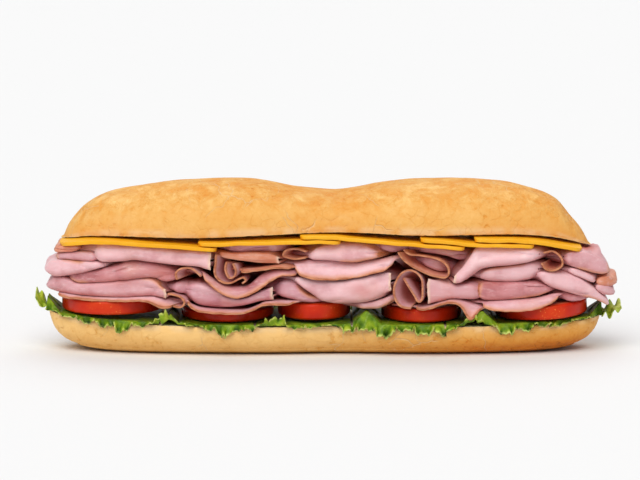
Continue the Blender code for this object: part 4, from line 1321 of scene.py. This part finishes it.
def ham_curl(name, reach, points, surface):
    """A slice curled about a line from front to back; its loop narrows a little towards the inside."""
    shape = bmesh.new()
    edge_layer = shape.verts.layers.float.new("edge")
    cut_layer = shape.verts.layers.float.new("cut")
    inside_shade_layer = shape.verts.layers.float.new("inside")
    length = sum(math.dist(a, b) for a, b in zip(points, points[1:]))
    count = round(length / CURL_STEP)
    line = smooth_line(points, count)
    middle = sum(x for x, _ in points) / len(points)
    height = sum(z for _, z in points) / len(points)
    half = fill_half_depth(middle) + reach
    for vert, u, v in grid(shape, count, CURL_ROWS):
        x, z = line[round(u * count)]
        side = crowded(2 * v - 1, 1.5)
        lip = 0.7 * grainy(u * length, side, 0, 8, middle) + 0.25 * grainy(u * length, side, 0, 3, middle)
        y = side * (half - 0.6 + lip * abs(side) ** 3)
        inset = (1 - abs(side)) * half
        tight = CURL_FUNNEL * smooth(0.0, 9.0, inset) + CURL_CLOSE * smooth(8.0, 24.0, inset)
        x += (middle - x) * tight + CURL_UNEVEN * grainy(x, y * 0.4, z, 8, middle + 4.0)
        z += (height - z) * tight + CURL_UNEVEN * grainy(x, y * 0.4, z, 8, middle + 8.0)
        vert.co = (bowed(x, y), y, z)
        vert[edge_layer] = min(inset, u * length + 0.5, (1 - u) * length + 0.5)
        vert[cut_layer] = FAR
        # Painted shade: darker deep inside the curl
        vert[inside_shade_layer] = smooth(2.0, 12.0, inset)
    piece = finish(name, shape, (surface,))
    thicken(piece, HAM_THIN, HAM_SOFT)
    return piece


# Stage

def stage():
    shape = bmesh.new()
    bmesh.ops.create_grid(shape, x_segments=1, y_segments=1, size=FLOOR_REACH)
    mesh = bpy.data.meshes.new("floor")
    shape.to_mesh(mesh)
    shape.free()
    floor = bpy.data.objects.new("floor", mesh)
    bpy.context.scene.collection.objects.link(floor)
    made, tree, shader = new_material("floor_white")
    shader.inputs["Base Color"].default_value = (*[FLOOR_WHITE] * 3, 1.0)
    shader.inputs["Roughness"].default_value = 0.9
    shader.inputs["Specular IOR Level"].default_value = 0.1
    mesh.materials.append(made)

    world = bpy.data.worlds.new("studio")
    world.use_nodes = True
    world.node_tree.nodes["Background"].inputs["Color"].default_value = (1.0, 1.0, 1.0, 1.0)
    world.node_tree.nodes["Background"].inputs["Strength"].default_value = SKY_STRENGTH
    bpy.context.scene.world = world
    bpy.context.scene.view_settings.view_transform = "Standard"

    for name, place, strength in (("front", FRONT_FROM, FRONT_STRENGTH), ("rear", REAR_FROM, REAR_STRENGTH)):
        sun = bpy.data.lights.new(name, "SUN")
        sun.energy = strength
        sun.angle = math.radians(LIGHT_SOFTNESS)
        lamp = bpy.data.objects.new(name, sun)
        bpy.context.scene.collection.objects.link(lamp)
        lamp.rotation_euler = (-Vector(place)).to_track_quat("-Z", "Y").to_euler()


def camera():
    lens = bpy.data.cameras.new("camera")
    lens.sensor_width = SENSOR_MM
    lens.lens = SENSOR_MM * CAMERA_AWAY / PHOTO_WIDTH_MM
    lens.clip_end = 50.0
    eye = bpy.data.objects.new("camera", lens)
    bpy.context.scene.collection.objects.link(eye)
    aim = Vector(CAMERA_AIM) * MM
    rise = math.radians(CAMERA_RISE)
    away = Vector((0.0, -math.cos(rise), math.sin(rise)))
    eye.location = aim + away * CAMERA_AWAY * MM
    eye.rotation_euler = (-away).to_track_quat("-Z", "Y").to_euler()
    bpy.context.scene.camera = eye


def main():
    camera()
    stage()
    crust = crust_material()
    crumb = crumb_material()
    cheese = cheese_material()
    skin = tomato_skin_material()
    flesh = tomato_flesh_material()
    leaf = lettuce_material()
    flesh_of_ham = ham_group()
    hams = {name: ham_material(name, flesh_of_ham, *tints) for name, tints in HAM_TINTS.items()}
    tinted = {piece: hams[name] for name, pieces in TINTED_SLICES.items() for piece in pieces}
    pink = hams["ham_pink"]

    roll_half("bun_bottom", BOTTOM_ENDS, bottom_section, bottom_tone, crust, crumb, False)
    roll_half("bun_top", TOP_ENDS, top_section, top_tone, crust, crumb, True)
    for values in CHEESE:
        cheese_slice(*values, cheese)
    for values in TOMATO:
        tomato_slice(*values, skin, flesh)
    for values in LETTUCE:
        lettuce_leaf(*values, leaf)
    found = undersides()
    for values in HAM_FOLDS:
        ham_fold(*values, found, tinted.get(values[0], pink))
    for values in HAM_CURLS:
        ham_curl(*values, tinted.get(values[0], pink))


main()
